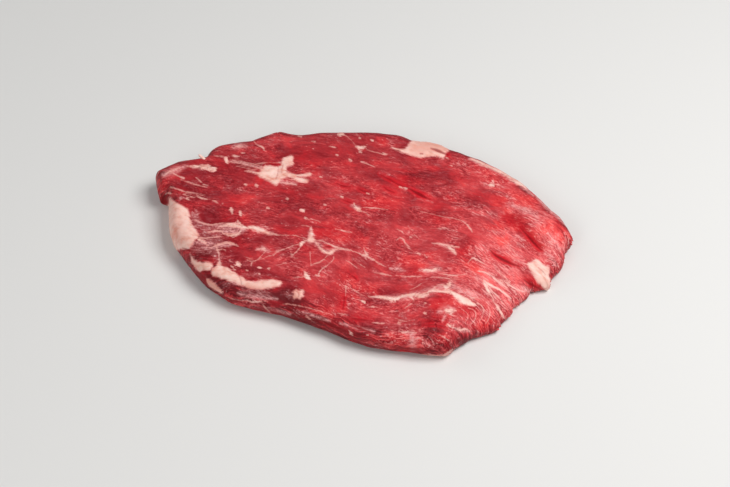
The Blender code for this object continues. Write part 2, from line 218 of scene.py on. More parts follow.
# Streaks of fat, as bent lines on the photograph: (x, y, half width), all in its pixels.
FAT_STREAKS = {
    "long streak's start": [
        (194, 219.5, 0.5), (200, 222, 0.8), (205, 224, 0.8), (210, 225, 0.8), (217, 224, 0.7),
        (223, 223, 0.7), (229, 222.7, 0.4),
    ],
    "long streak": [
        (218, 226.5, 0.6), (224, 226, 1.5), (230, 225, 2.1), (238, 226, 2.3), (243, 227, 1.9),
        (248, 228.5, 1.1), (252, 229, 0.9),
    ],
    "long streak's tail": [
        (276, 235, 0.9), (281, 235.3, 0.6), (287, 235.5, 0.6), (295, 235.5, 0.6), (300, 237, 0.6),
        (306, 238.5, 0.6), (309, 239, 0.9),
    ],
    "wedge's spread": [(250, 227.5, 0.9), (256, 229, 1.3), (263, 231, 1.3), (271, 234, 1)],
    "long streak's spur": [(237.5, 220.5, 0.9), (240, 224, 1.3)],
    "under streak": [(208, 232.3, 0.8), (215, 231, 1.4), (222, 231, 1.2)],
    "under streak's loop": [
        (223, 233, 0.8), (230, 235.2, 1.7), (236, 234.5, 1.9), (240, 232.3, 1.2), (241, 229, 0.7),
    ],
    "third streak": [(196, 236, 1.1), (202, 238, 0.9), (208, 238, 0.9), (216, 237, 0.7), (222, 236, 0.4)],
    "fourth streak": [(199, 239.5, 1.6), (205, 243, 1.4), (207.5, 246, 0.8)],
    "fifth streak": [
        (210, 247.5, 0.6), (217, 245, 1.1), (222, 244, 1.2), (227, 243.2, 1.3), (233, 244, 1.1),
        (238, 246, 0.5),
    ],
    "neck": [
        (216, 246, 0.6), (217.5, 250, 1), (219, 254, 0.9), (219, 258, 0.8), (219.5, 262, 1.1),
        (220.5, 266, 1.7),
    ],
    "neck's arm": [(218, 251, 0.5), (222, 249.3, 0.8), (225.5, 250.5, 0.6)],
    "tip streak": [
        (186, 167, 0.6), (193, 166.7, 1.3), (200, 167, 2.2), (207, 167.8, 2.8), (214, 169.6, 2.8),
    ],
    "lower right streak": [
        (368, 296.5, 0.7), (377, 297, 1.2), (384, 298, 2), (390, 299, 2.5), (396, 298.8, 2.4),
        (400, 297, 1.8), (405, 295.5, 1.5), (411, 294.5, 1.6), (418, 294.3, 1.5), (424, 293.8, 1.3),
        (430, 291.7, 1.4), (436, 291, 1.5), (442, 292, 1.6), (450, 292.5, 2), (455, 295, 2),
    ],
    "lower right spur": [(408, 295.5, 0.8), (412, 297.5, 1.3), (414, 301, 0.6)],
    "lower right branch": [
        (430, 291, 0.6), (434, 288, 0.8), (438, 285.7, 0.8), (443, 285, 1), (446, 287.5, 2),
        (448, 286, 2.3), (450, 283.7, 1.7),
    ],
    "star's shoulder": [(253.5, 167.2, 0.3), (257, 168, 0.6), (261, 168.6, 0.9), (264, 169, 0.6)],
    "star's strand": [
        (256, 163.8, 0.4), (262, 163, 0.7), (268, 162.3, 0.6), (275, 162.7, 0.6), (281.5, 162.7, 0.8),
    ],
    "tip's cream": [(164, 176, 0.4), (168, 173, 1), (173, 170.5, 1.1), (179, 168.5, 0.6)],
    "far smear's core": [(234.5, 147.5, 0.5), (239, 146, 1), (244, 147, 0.6)],
    "lower right tail": [(469, 298.5, 0.6), (476, 297.6, 0.7), (481, 299, 0.3)],
    "wing": [
        (432, 243, 0.5), (438, 243.7, 0.8), (443, 244.5, 0.9), (448, 246, 1.2), (453, 246.2, 1.1),
        (459, 246.8, 0.7),
    ],
    "wing's foot": [(449, 247.5, 1.5), (452, 249.5, 2), (454.5, 252, 1.5), (456, 255, 0.6)],
    "middle right spot": [
        (424, 270.3, 1.1), (428, 270, 1.8), (432, 271, 1.6), (436, 268.8, 1.4), (438.5, 268.6, 0.6),
    ],
    "middle spot": [(354, 204, 1.1), (355.5, 207, 1.6), (358.5, 209.3, 1.9), (361, 211, 1.1)],
    "knot's left arm": [(309, 240.5, 0.7), (304, 241.3, 1), (301.5, 243.5, 1.8), (300.5, 246, 1.2)],
    "left arm's foot": [
        (300.5, 246.5, 0.7), (298, 250, 0.7), (294.5, 253.5, 0.7), (291.5, 255, 0.5), (290.8, 251, 0.4),
    ],
    "knot's right arm": [
        (314.5, 240.5, 0.7), (318, 245.5, 1.1), (321, 249, 1.3), (325, 251.7, 1.1), (328, 253.5, 1.3),
    ],
    "long vein": [
        (315, 240, 0.5), (322, 241, 0.6), (328, 243.5, 0.7), (333, 246, 1), (338, 248.3, 1.1),
        (343, 249, 1), (347, 249.5, 0.8), (352, 251.2, 0.6), (356, 252.5, 0.6), (362, 255, 0.7),
        (366, 256, 0.9), (370, 258, 0.8), (374, 260, 0.8), (377, 262.5, 0.7), (381, 264.5, 0.6),
        (386, 267, 0.3),
    ],
    "long vein's thorn": [(364, 248, 0.4), (365, 252, 0.8), (366.5, 255, 1.3), (362, 255.3, 0.8)],
    "low branch": [(328, 255, 0.6), (324, 259, 0.6), (320, 262, 0.7), (315, 263.7, 0.6), (311, 265.3, 0.4)],
    "low branch's twin": [
        (334, 256, 0.4), (333, 260, 0.5), (329, 264, 0.6), (325, 267, 0.6), (321, 270, 0.6),
        (318.5, 274.5, 1),
    ],
    "pale blot": [(304.5, 272.5, 0.8), (306, 275, 2), (307.3, 277.5, 2.4), (309.5, 279, 1)],
    "small star": [(315.5, 275, 0.7), (318, 275.5, 1.2), (320.5, 276.2, 0.6)],
    "diamond": [(362.5, 301.5, 1.4), (364.5, 303, 1.7)],
    "standing dot": [(226.3, 159, 1.9), (226.8, 161.5, 1.9)],
    "far dot": [(338.5, 134.6, 1.3), (341, 134.5, 2), (343.5, 134.7, 1.3)],
    "far blot": [(356, 146.5, 0.9), (360, 147.3, 1.8), (365, 147, 1.1)],
    "oval one": [(231, 208.5, 1.1), (231.5, 211, 1.8), (232.3, 213.5, 1.2)],
    "oval two": [(240, 212, 1.1), (240.5, 214.5, 1.5), (240.8, 216, 0.9)],
    "twin dots far": [(492.5, 181, 1.2), (493.5, 181.3, 1.1)],
    "twin dots near": [(490.5, 185, 1.4), (493.5, 185.6, 1.4)],
    "dot beside veins": [(301, 210.2, 1.3), (303.8, 210.8, 1.5)],
    "corner dot": [(447.8, 324.5, 1.5), (450.3, 326, 1.7)],
    "corner crest": [(455, 328, 0.9), (460, 330, 1.2), (465, 329, 1), (470, 331, 0.5)],
    "splash": [(445, 311, 1), (448.5, 311, 2.6), (452, 310.5, 1.4)],
    "side streak": [(400, 331.5, 0.5), (405, 332.3, 1.1), (410, 332, 0.8), (416, 332.8, 0.6)],
    "side patch": [(349, 330, 0.6), (351, 333, 1.3), (353, 335.5, 0.9)],
    "fan stem": [
        (483.5, 280, 0.8), (487, 283.5, 1.5), (492, 286, 1.4), (500, 290, 1.3), (506, 294.5, 1.1),
        (511, 298.5, 0.7),
    ],
    "fan leaf": [(484, 281, 1.1), (485.5, 286, 1.6), (488, 291, 1.6), (490.5, 295, 1.1), (493, 298.5, 0.6)],
    "fan rib": [(493, 301.5, 0.8), (497, 307, 1.2), (500, 312, 1.5), (503, 316.5, 1.2), (505, 319.5, 0.5)],
    "near edge lip": [
        (417, 353.8, 0.6), (426, 354.6, 0.9), (436, 355, 1), (444, 354.8, 1.2), (448, 352.5, 1.3),
        (452, 349, 0.8),
    ],
    "far rim line": [
        (470.6, 158.5, 1), (475.6, 161, 1.4), (480.6, 163, 1.6), (485.6, 165.5, 1.5), (490.6, 167.7, 1.4),
        (497.6, 170.7, 1.6), (503.6, 174, 1.4), (508.6, 177, 1.5), (513.6, 180, 2), (518.6, 183, 2.2),
        (522.6, 186, 1.7), (526.6, 189.5, 0.8),
    ],
    "wide of the low streak": [(415, 296, 1), (421, 296.5, 2), (428, 294, 1.6)],
}

# Pale see-through films over the lean, drawn the same way. Those along the far rim, at the thin end and on
# the long split's near lip are painted highlights and painted light instead.
FILMS_AND_PAINTED_HIGHLIGHTS = {
    "tip band": [(162, 176, 1.8), (168, 173, 3.2), (177, 169.5, 3), (187, 166, 1.4)],
    "far smear": [(233, 147.5, 1.6), (239, 145.5, 3), (246, 146.5, 1.6)],
    "end pad's spread": [(191, 244, 1.2), (199, 242.5, 2), (207, 243.5, 1.5), (213, 243, 1)],
    "star's band": [(231, 161, 0.8), (240, 162.5, 1.2), (250, 165, 1), (262, 168, 1)],
    "side splash": [(411, 333, 2.6), (412.5, 340, 3.4), (413, 346, 3.4)],
    "corner splash": [(438, 312, 1.5), (443, 310.5, 3), (448, 309.5, 3.6), (454, 310, 2)],
    "splash's rays": [(446, 313, 1.8), (444, 318, 1.2), (442, 321, 0.6)],
    "middle right halo": [(420, 270, 1.5), (430, 270.5, 2.8), (440, 269, 1.8)],
    "wing's halo": [(440, 244, 1.2), (450, 247.5, 2.4), (455, 253, 1.6)],
    "pale band": [(455, 328.5, 1.5), (461, 330, 1.7), (470, 331, 1.2)],
    "fan veil": [(513, 287, 1.5), (520, 288, 2.6), (529, 291, 2.4)],
    "pink spot": [(390, 268.5, 1), (396, 268.5, 2), (403, 270.5, 1.4)],
    "long streak's veil": [(216, 226, 1.6), (226, 227, 2.8), (237, 228.5, 3.4), (245, 229, 2.2)],
    "below the long streak": [(222, 231, 1.4), (232, 231.5, 2.4), (242, 232, 1.4)],
    "feather's veil": [(278, 181.5, 1.4), (286, 182.5, 2.6), (295, 184, 1.6)],
    "network's haze": [(257, 248.5, 1.2), (263, 248.8, 2.2), (268.5, 251, 1.4)],
    "far rim's painted light": [(536, 197, 0.8), (545, 206, 1.4), (556, 215.5, 1.4), (565, 225, 1)],
    "left veil": [(202, 247, 0.9), (210, 248, 1.3), (219, 246, 1.3), (230, 245, 1.2)],
    "salmon streak": [(238, 293, 1.2), (248, 296, 2), (262, 297.5, 2), (277, 299, 1.2)],
    "salmon lens": [(268, 307.5, 0.9), (277, 310.5, 2), (290, 313.5, 1.4)],
    "near edge streak": [(303, 312, 0.8), (316, 316.5, 1.4), (330, 321, 1)],
    "near edge streak b": [(340, 323, 1), (356, 327.5, 1.6), (374, 331, 1.2)],
    "split's lip highlight": [(420, 198.5, 0.4), (427, 200, 0.6), (433, 202.5, 0.5)],
    "rim glow": [(512, 205, 1.2), (522, 209, 2), (531, 213.5, 2), (538, 219, 1.2)],
    "streak's halo": [(384, 298, 2), (402, 297, 3), (420, 293.5, 3.4), (440, 289, 4), (452, 287, 3)],
    "wedge's halo": [(450, 284, 2), (462, 290, 3), (474, 296, 3)],
    "web's halo": [(316, 243, 2), (325, 249, 3), (336, 249, 2.4)],
    "knot's halo": [(310, 231, 1.6), (311, 240, 3)],
    "rim's painted highlight": [(469, 159, 1), (486, 166, 1.6), (504, 175, 1.6), (521, 186, 1.8), (533, 196, 1)],
    "end light": [(548, 233, 1.6), (554, 241, 2.2), (560, 250, 1.5)],
    "valley edge": [(545, 253, 1.2), (552, 258, 2), (556, 266, 1.3)],
    "upper dot's haze": [(352, 205, 1.5), (358, 208, 2.4)],
}

# Thin veins and hairlines, drawn the same way.
VEINS = [
    [(310.5, 227, 0.4), (306, 225.8, 0.5), (301, 224.8, 0.3)],
    [
        (299, 244, 0.7), (293, 245.5, 0.5), (287, 248, 0.5), (283, 249.3, 0.6), (278, 251.5, 0.5),
        (273, 255.5, 0.4),
    ],
    [(266, 250.5, 0.4), (261, 256, 0.5), (257, 260, 0.6), (252, 261.5, 0.7), (247, 260, 0.4)],
    [(252, 261.5, 0.5), (251, 266, 0.5)],
    [(274, 255, 0.4), (268, 256, 0.5), (262.5, 258.7, 0.4), (257, 260, 0.3)],
    [(282, 249.5, 0.3), (275, 251, 0.5), (269, 251.5, 0.4)],
    [(290, 256, 0.3), (294, 258, 0.5), (298, 258.5, 0.3)],
    [(262, 246.5, 0.3), (259, 249, 0.5), (255.5, 250, 0.3)],
    [(244, 256.5, 0.3), (249, 258.5, 0.5), (253, 258, 0.3)],
    [(286, 262.5, 0.3), (281, 264.5, 0.4), (276, 265.5, 0.3)],
    [(345, 260, 0.3), (350, 262.5, 0.6), (357, 268, 0.3)],
    [(357, 263, 0.4), (361, 265, 0.6), (365, 267.5, 0.3)],
    [(310, 251, 0.3), (310.3, 258, 0.4), (311, 266, 0.3)],
    [(335.5, 229, 0.4), (341, 230.2, 0.7), (347, 231.5, 0.6), (352, 232, 0.3)],
    [(309, 219, 0.7), (315, 220, 0.5), (320.5, 222.5, 0.6)],
    [(361, 210.5, 0.5), (366, 212.5, 0.4), (371, 216, 0.3)],
    [(403, 239, 0.7), (405, 243, 0.9), (409, 246.5, 0.5)],
    [(396.5, 240.3, 0.5), (400, 238, 0.8), (402.5, 239, 0.5)],
    [(405, 246, 0.3), (409, 248.5, 0.4), (414, 251.5, 0.3)],
    [(414, 234, 0.5), (419, 239, 0.4)],
    [(397, 229, 0.4), (401, 231, 0.5), (404, 233.5, 0.3)],
    [(408, 226, 0.3), (411, 229, 0.5), (414, 230.5, 0.3)],
    [(424, 254, 0.6), (427, 257.5, 0.5)],
    [(374, 272.5, 0.3), (380, 273.5, 0.6), (386, 274.5, 0.6), (392, 276, 0.4)],
    [(396, 275.5, 0.4), (408, 276.3, 0.6), (415, 276.5, 0.6), (422, 276.5, 0.4)],
    [(438, 273.5, 0.4), (448, 275, 0.7), (456, 275.6, 0.7), (467, 274, 0.4)],
    [(432, 277, 0.3), (442, 278, 0.5), (452, 279, 0.5), (461, 279.5, 0.3)],
    [(440, 268, 0.3), (442, 270, 0.4), (445, 272, 0.3)],
    [(293, 277.5, 0.3), (298, 277.3, 0.4), (304, 277, 0.5)],
    [(319, 276.5, 0.4), (328, 277, 0.2)],
    [(346, 286.5, 0.8), (345.8, 291, 0.6), (345.5, 296, 0.4)],
    [(350, 288.5, 0.3), (355, 291, 0.5), (360, 294, 0.5), (364, 296, 0.3)],
    [(366, 307.5, 0.2), (373, 307, 0.5), (380, 307.5, 0.2)],
    [(172, 173, 0.7), (178, 176, 0.8), (184, 178.5, 0.9)],
    [(181, 180, 0.4), (190, 183, 0.6), (197, 185.5, 0.7), (207, 187.2, 0.4)],
    [(196, 178, 0.5), (201, 182, 0.7)],
    [(203, 184.5, 0.8), (208, 186, 0.6)],
    [
        (172, 187, 0.5), (177, 189, 0.7), (183, 191, 0.8), (190, 192.5, 0.8), (198, 193.7, 0.4),
        (206, 195, 0.3),
    ],
    [(184, 194.5, 0.5), (189, 196, 0.8), (194, 197.5, 0.6)],
    [(197, 196, 0.7), (201, 198, 1.1), (207, 199.5, 0.7)],
    [(165.5, 194.3, 0.6), (168, 193, 1), (171, 193.5, 0.7)],
    [(212, 200.5, 0.5), (215, 201.5, 0.8), (218, 203, 0.4)],
    [(232, 159.5, 0.3), (242, 161.5, 0.5), (252, 163.7, 0.6), (262, 166.5, 0.7)],
    [(229, 161.5, 0.4), (240, 163.5, 0.7), (250, 166, 0.6), (260, 168.6, 0.6)],
    [(236, 166, 0.2), (246, 168, 0.4), (256, 170, 0.5)],
    [(280, 182.5, 0.5), (290, 183.7, 0.8), (297, 185.5, 0.4)],
    [(294, 175.3, 0.4), (302, 175.8, 0.6), (309, 175.4, 0.4)],
    [(214, 155.5, 0.4), (219, 156, 0.8), (224, 156.5, 0.4)],
    [(231, 156, 0.6), (235, 156, 1), (239, 156.5, 0.6)],
    [(241, 153, 0.6), (244.5, 153.3, 0.9)],
    [(254, 141, 0.5), (257, 145, 0.6), (262, 147, 1.1), (264, 149.5, 0.9)],
    [(367, 149.5, 0.3), (374, 152, 0.5), (380, 153.5, 0.6), (384, 154.5, 1.2), (387, 155, 0.6)],
    [(361, 161.5, 0.6), (366, 163.6, 0.6), (375, 167, 0.3)],
    [(329, 146.6, 0.4), (332, 147, 0.9), (337, 147.7, 0.4)],
    [(298, 136.3, 0.7), (301, 136.7, 1)],
    [(449, 165, 0.5), (452, 165.8, 0.9)],
    [(345, 135, 0.5), (350, 139, 0.3), (355, 144, 0.2)],
    [(311, 141.6, 0.5), (315, 142.2, 0.8)],
    [(363, 207, 0.4), (372, 208, 0.6), (380, 208.6, 0.6), (388, 209.6, 0.3)],
    [
        (420, 211, 0.3), (433, 214, 0.4), (443, 216.5, 0.4), (452, 218, 0.4), (460, 220, 0.5),
        (465, 223, 0.6), (469, 227, 0.9), (472, 232, 0.7),
    ],
    [(430, 228.3, 0.3), (439, 228.7, 0.4), (448, 228.4, 0.3)],
    [(490, 289, 0.7), (494, 293, 0.9), (498, 297, 0.9), (505, 306, 0.6)],
    [(497, 271, 0.6), (503, 276, 0.9), (510, 282, 0.8)],
    [(478, 271, 0.8), (487, 274, 1.1), (500, 283, 0.9), (507, 288, 0.6)],
    [(500, 280, 0.7), (508, 284, 0.9), (515, 289, 1), (525, 292, 0.7)],
    [(473, 303, 0.4), (479, 304, 0.7), (483, 308, 0.7), (483, 314, 0.6), (480, 320, 0.5)],
    [(468, 308, 0.4), (474, 310, 0.6), (476, 315, 0.6), (474, 321, 0.5), (470, 325, 0.3)],
    [(488, 305, 0.4), (490, 311, 0.6), (489, 318, 0.6), (486, 324, 0.4)],
    [(461, 309, 0.3), (467, 313, 0.5), (468, 318, 0.4), (465, 322, 0.3)],
    [(468, 263, 0.6), (472, 258.5, 0.9), (477, 260, 0.8), (484, 264, 0.5)],
    [(440, 335, 0.5), (445, 338, 0.8), (450, 341, 0.4)],
    [(372, 323, 0.4), (379, 323.4, 0.8), (384, 323.6, 0.4)],
    [(283, 304, 0.5), (292, 304.5, 0.7), (300, 306, 0.6), (311, 308.5, 0.5), (322, 311.5, 0.3)],
    [(337, 313, 0.4), (342, 314.3, 0.7), (347, 315, 0.3)],
    [(247, 300, 0.6), (253, 302, 1), (260, 301.3, 0.8), (268, 301.5, 0.4)],
    [(262, 304, 0.4), (266, 308, 1), (271, 313, 0.6)],
    [(306, 315.5, 0.8), (309, 318, 0.9), (312, 321, 0.4)],
    [(228, 297, 0.4), (236, 299.5, 0.7), (244, 301, 0.3)],
    [(395, 318, 0.3), (404, 321, 0.5), (412, 320, 0.3)],
    [(405, 308, 0.6), (409, 305, 0.7), (412, 303, 0.4)],
    [(410, 289, 0.3), (416, 286.5, 0.5), (421, 283, 0.3)],
]

# Small round dots of fat: (x, y, half width).
FAT_DOTS = [
    (245.5, 185, 1.1), (256.5, 185.5, 1.1), (287.5, 199.5, 1.2), (268, 208, 1.2), (305.5, 218, 1.1),
    (187.5, 199, 1.2), (238, 263.5, 1.5), (259.5, 268, 1.2), (269, 268.5, 1.1), (263.5, 248.5, 1.4),
    (171.5, 187.5, 0.9), (234.5, 269.5, 0.9), (259.5, 274, 0.8), (360, 138.5, 1), (372, 140.5, 1.2),
    (360.5, 152, 1.1), (350.5, 160, 1.1), (321, 177, 0.9), (368, 194, 1.2), (342, 197, 1.2),
    (400.5, 187.5, 1), (406, 188.5, 1.2), (325, 205, 0.9), (337, 155, 0.9), (419, 253.5, 1),
    (447, 158, 0.9), (411, 237, 0.8), (373, 307, 0.9), (425, 313, 1.2), (399, 323, 1.1), (425, 303, 1),
    (367.5, 335, 0.7), (238.5, 264.5, 2), (232, 267, 1.1), (247, 270.5, 0.9), (451, 313, 1.6),
    (455, 311, 1),
]

# Splits and creases, drawn the same way, with how deep each is cut, in metres. The dark colour inside each is
# painted shade, over lean and fat alike.
SPLITS_WITH_PAINTED_SHADE = {
    "far split": ([(337, 183, 0.3), (341.5, 185, 0.6), (346, 186, 0.6), (350.5, 186.2, 0.3)], 0.0004),
    "second split": ([(358, 188.5, 0.3), (363, 191, 0.6), (368, 192.5, 0.3)], 0.0003),
    "long split": (
        [
            (380, 174, 0.3), (386, 177.5, 0.5), (391, 180, 0.6), (396, 183, 0.4), (400, 185, 0.4),
            (410, 189, 0.6), (415, 192, 1), (420, 194.5, 1.2), (425, 197, 0.8), (430, 199, 0.3),
        ],
        0.0007,
    ),
    "near long split": ([(384, 187, 0.3), (388, 190, 0.5), (394, 192, 0.3)], 0.0003),
    "mid split": ([(343, 200, 0.2), (347, 201.3, 0.5), (351.5, 202.7, 0.3)], 0.0002),
    "right split": (
        [
            (489.5, 249.5, 0.3), (494, 254, 0.7), (500, 258, 1.1), (506, 261, 1.1), (512, 264, 0.7),
            (520, 266.5, 0.3),
        ],
        0.0002,
    ),
    "valley floor": ([(520, 227, 0.3), (527, 235, 0.7), (534, 243, 0.9), (541, 250, 0.5)], 0.0002),
    "corner crease": ([(424, 325.5, 0.2), (432, 324.5, 0.6), (440, 325, 0.5), (446, 326, 0.2)], 0.0003),
    "corner fall": ([(452, 334, 0.2), (450, 340, 0.5), (446, 346, 0.3)], 0.0003),
    "upright split": ([(344.5, 296.5, 0.2), (344, 302, 0.5), (343, 309, 0.3)], 0.0001),
    "under chunk": ([(524, 280, 0.4), (529, 283.5, 0.9), (535, 286.5, 0.8), (541, 289.5, 0.4)], 0.0004),
    "left of band": ([(198, 272, 0.6), (202, 276, 1.5), (205, 280, 1.2), (207, 284, 0.5)], 0.0008),
    "under end pad": ([(183, 248.3, 0.5), (188, 250, 0.9), (194, 252, 0.4)], 0.0005),
    "side crease a": ([(270, 302, 0.5), (275, 304, 1.2), (281, 303.7, 0.5)], 0.0005),
    "side crease b": ([(268, 311, 0.3), (273, 311.5, 0.6), (284, 315, 0.5), (296, 319.5, 0.4)], 0.0004),
    "side crease c": ([(322, 322, 0.4), (330, 325, 0.9), (340, 329, 1.2), (348, 332, 0.7)], 0.0006),
    "side crease d": ([(350, 325, 0.4), (360, 328.5, 0.9), (370, 332, 0.5)], 0.0005),
    "side crease e": ([(352, 318, 0.3), (362, 320, 0.6), (372, 321, 0.4)], 0.0003),
    "side crease f": ([(392, 347, 0.3), (404, 348.5, 0.7), (416, 349, 0.7), (428, 348.5, 0.3)], 0.0004),
    "tip crease": ([(164, 199, 0.4), (165.5, 203, 0.7), (167.5, 208, 0.4)], 0.0004),
    "tip crease b": ([(159.5, 174, 0.4), (160.5, 178, 0.7), (161, 184, 0.4)], 0.0003),
    "star's slit": ([(266, 163.7, 0.3), (271, 164, 0.5), (277, 164.7, 0.4)], 0.0002),
    "star's fold": ([(278.2, 168, 0.15), (278.3, 171, 0.32), (277.6, 175, 0.3), (276, 179, 0.15)], 0.0001),
    "star's far fold": ([(283.2, 165, 0.2), (282, 169, 0.4), (281.6, 173, 0.2)], 0.0002),
    "low streak's gap": ([(423, 294.8, 0.2), (428, 293.3, 0.4), (433, 292.2, 0.2)], 0.0001),
    "low streak's second gap": ([(438, 292.6, 0.2), (442, 293.3, 0.4), (446, 293.9, 0.2)], 0.0001),
    "ball's dent": ([(297, 291.8, 0.2), (299, 294.4, 0.4), (298.4, 297, 0.2)], 0.0002),
    "far groove": ([(431, 149, 0.6), (437, 150.7, 1.1), (443, 153.3, 0.9), (448, 155, 0.5)], 0.0003),
    "far spot": ([(420.5, 154, 0.6), (422.5, 154.2, 0.6)], 0.0002),
    "chunk's crease": ([(538, 268, 0.2), (542, 271.5, 0.4), (545, 275, 0.2)], 0.0002),
    "band's crease": ([(239, 276.5, 0.15), (241, 281, 0.25), (241.5, 285, 0.15)], 0.0002),
    "web's hole": ([(325, 246.5, 0.4), (329, 247, 0.7), (331, 247.5, 0.4)], 0.0002),
    "bowl hair": ([(352, 276, 0.3), (355, 278, 0.6), (356.5, 280, 0.3)], 0.0002),
}

# Broad soft hollows, drawn the same way.
HOLLOWS = {
    "valley": (
        [(494, 204, 5), (502, 212, 7), (511, 220, 7), (521, 231, 6), (530, 241, 5), (540, 248, 3)],
        0.0014,
    ),
    "beside the curl": ([(455, 243, 4), (463, 250, 5), (470, 258, 3)], 0.0008),
    "above the low streak": ([(372, 284, 6), (395, 286, 7), (420, 284, 6)], 0.0007),
    "upper dip": ([(450, 202, 6), (465, 204, 8), (480, 206, 6)], 0.0006),
    "below the gash": ([(400, 200, 6), (420, 204, 6), (438, 210, 5)], 0.0006),
    "near side step": (
        [(255, 296, 2.5), (285, 302, 2.5), (315, 311, 2.5), (345, 321, 2.5), (380, 331, 2.5)],
        0.0009,
    ),
    "right split's hollow": ([(490, 250, 3), (502, 259, 5), (516, 266, 3)], 0.0005),
    "corner dip": ([(425, 316, 4), (438, 322, 5), (448, 328, 4)], 0.0011),
}

# The steak's near side, where its layers show, as one stroke drawn the same way.
NEAR_SIDE = [
    (200, 275, 4), (210, 285, 5), (226, 294, 6), (250, 301, 7), (280, 308, 9), (310, 317, 10), (340, 326, 12),
    (380, 337, 13), (415, 342, 12), (440, 345, 9), (466, 338, 6), (490, 330, 4),
]

# Patches of silverskin: (x, y, reach across, reach down, strength).
SILVERSKIN = [
    (195, 216, 5, 8, 0.75), (206, 230, 14, 6, 0.7), (198, 224, 5, 4, 0.7), (225, 229, 15, 5, 0.6),
    (236, 233, 8, 5, 0.5), (214, 240, 15, 5, 0.8), (203, 246, 8, 4, 0.6), (228, 245, 9, 3, 0.6),
    (219, 257, 6, 8, 0.7), (190, 250, 8, 3, 0.7), (211, 251, 6, 7, 0.5), (203, 252, 6, 4, 0.5),
    (254, 275, 18, 4, 0.7), (232, 284, 13, 2.6, 0.9), (246, 291, 6, 3, 0.8), (262, 293.5, 11, 3.5, 0.9),
    (288, 294, 7, 4, 0.7), (297, 301, 9, 2.5, 0.4), (302, 313, 12, 4, 0.6), (312, 319, 7, 4, 0.3),
    (192, 184, 10, 5, 0.5), (182, 197, 7, 5, 0.6), (404, 314, 6, 7, 0.6), (336, 329, 14, 4, 0.3),
    (297, 286, 3, 3, 0.5), (434, 338, 12, 6, 0.3), (458, 340, 9, 4, 0.4), (262, 246, 4, 5, 0.5),
    (421, 154, 3, 1.5, 0.5), (322, 231, 5, 3, 0.2), (300, 190, 16, 8, 0.35), (240, 262, 9, 4, 0.4),
    (194, 219, 6, 7, 0.3), (193, 250, 7, 4, 0.4),
]
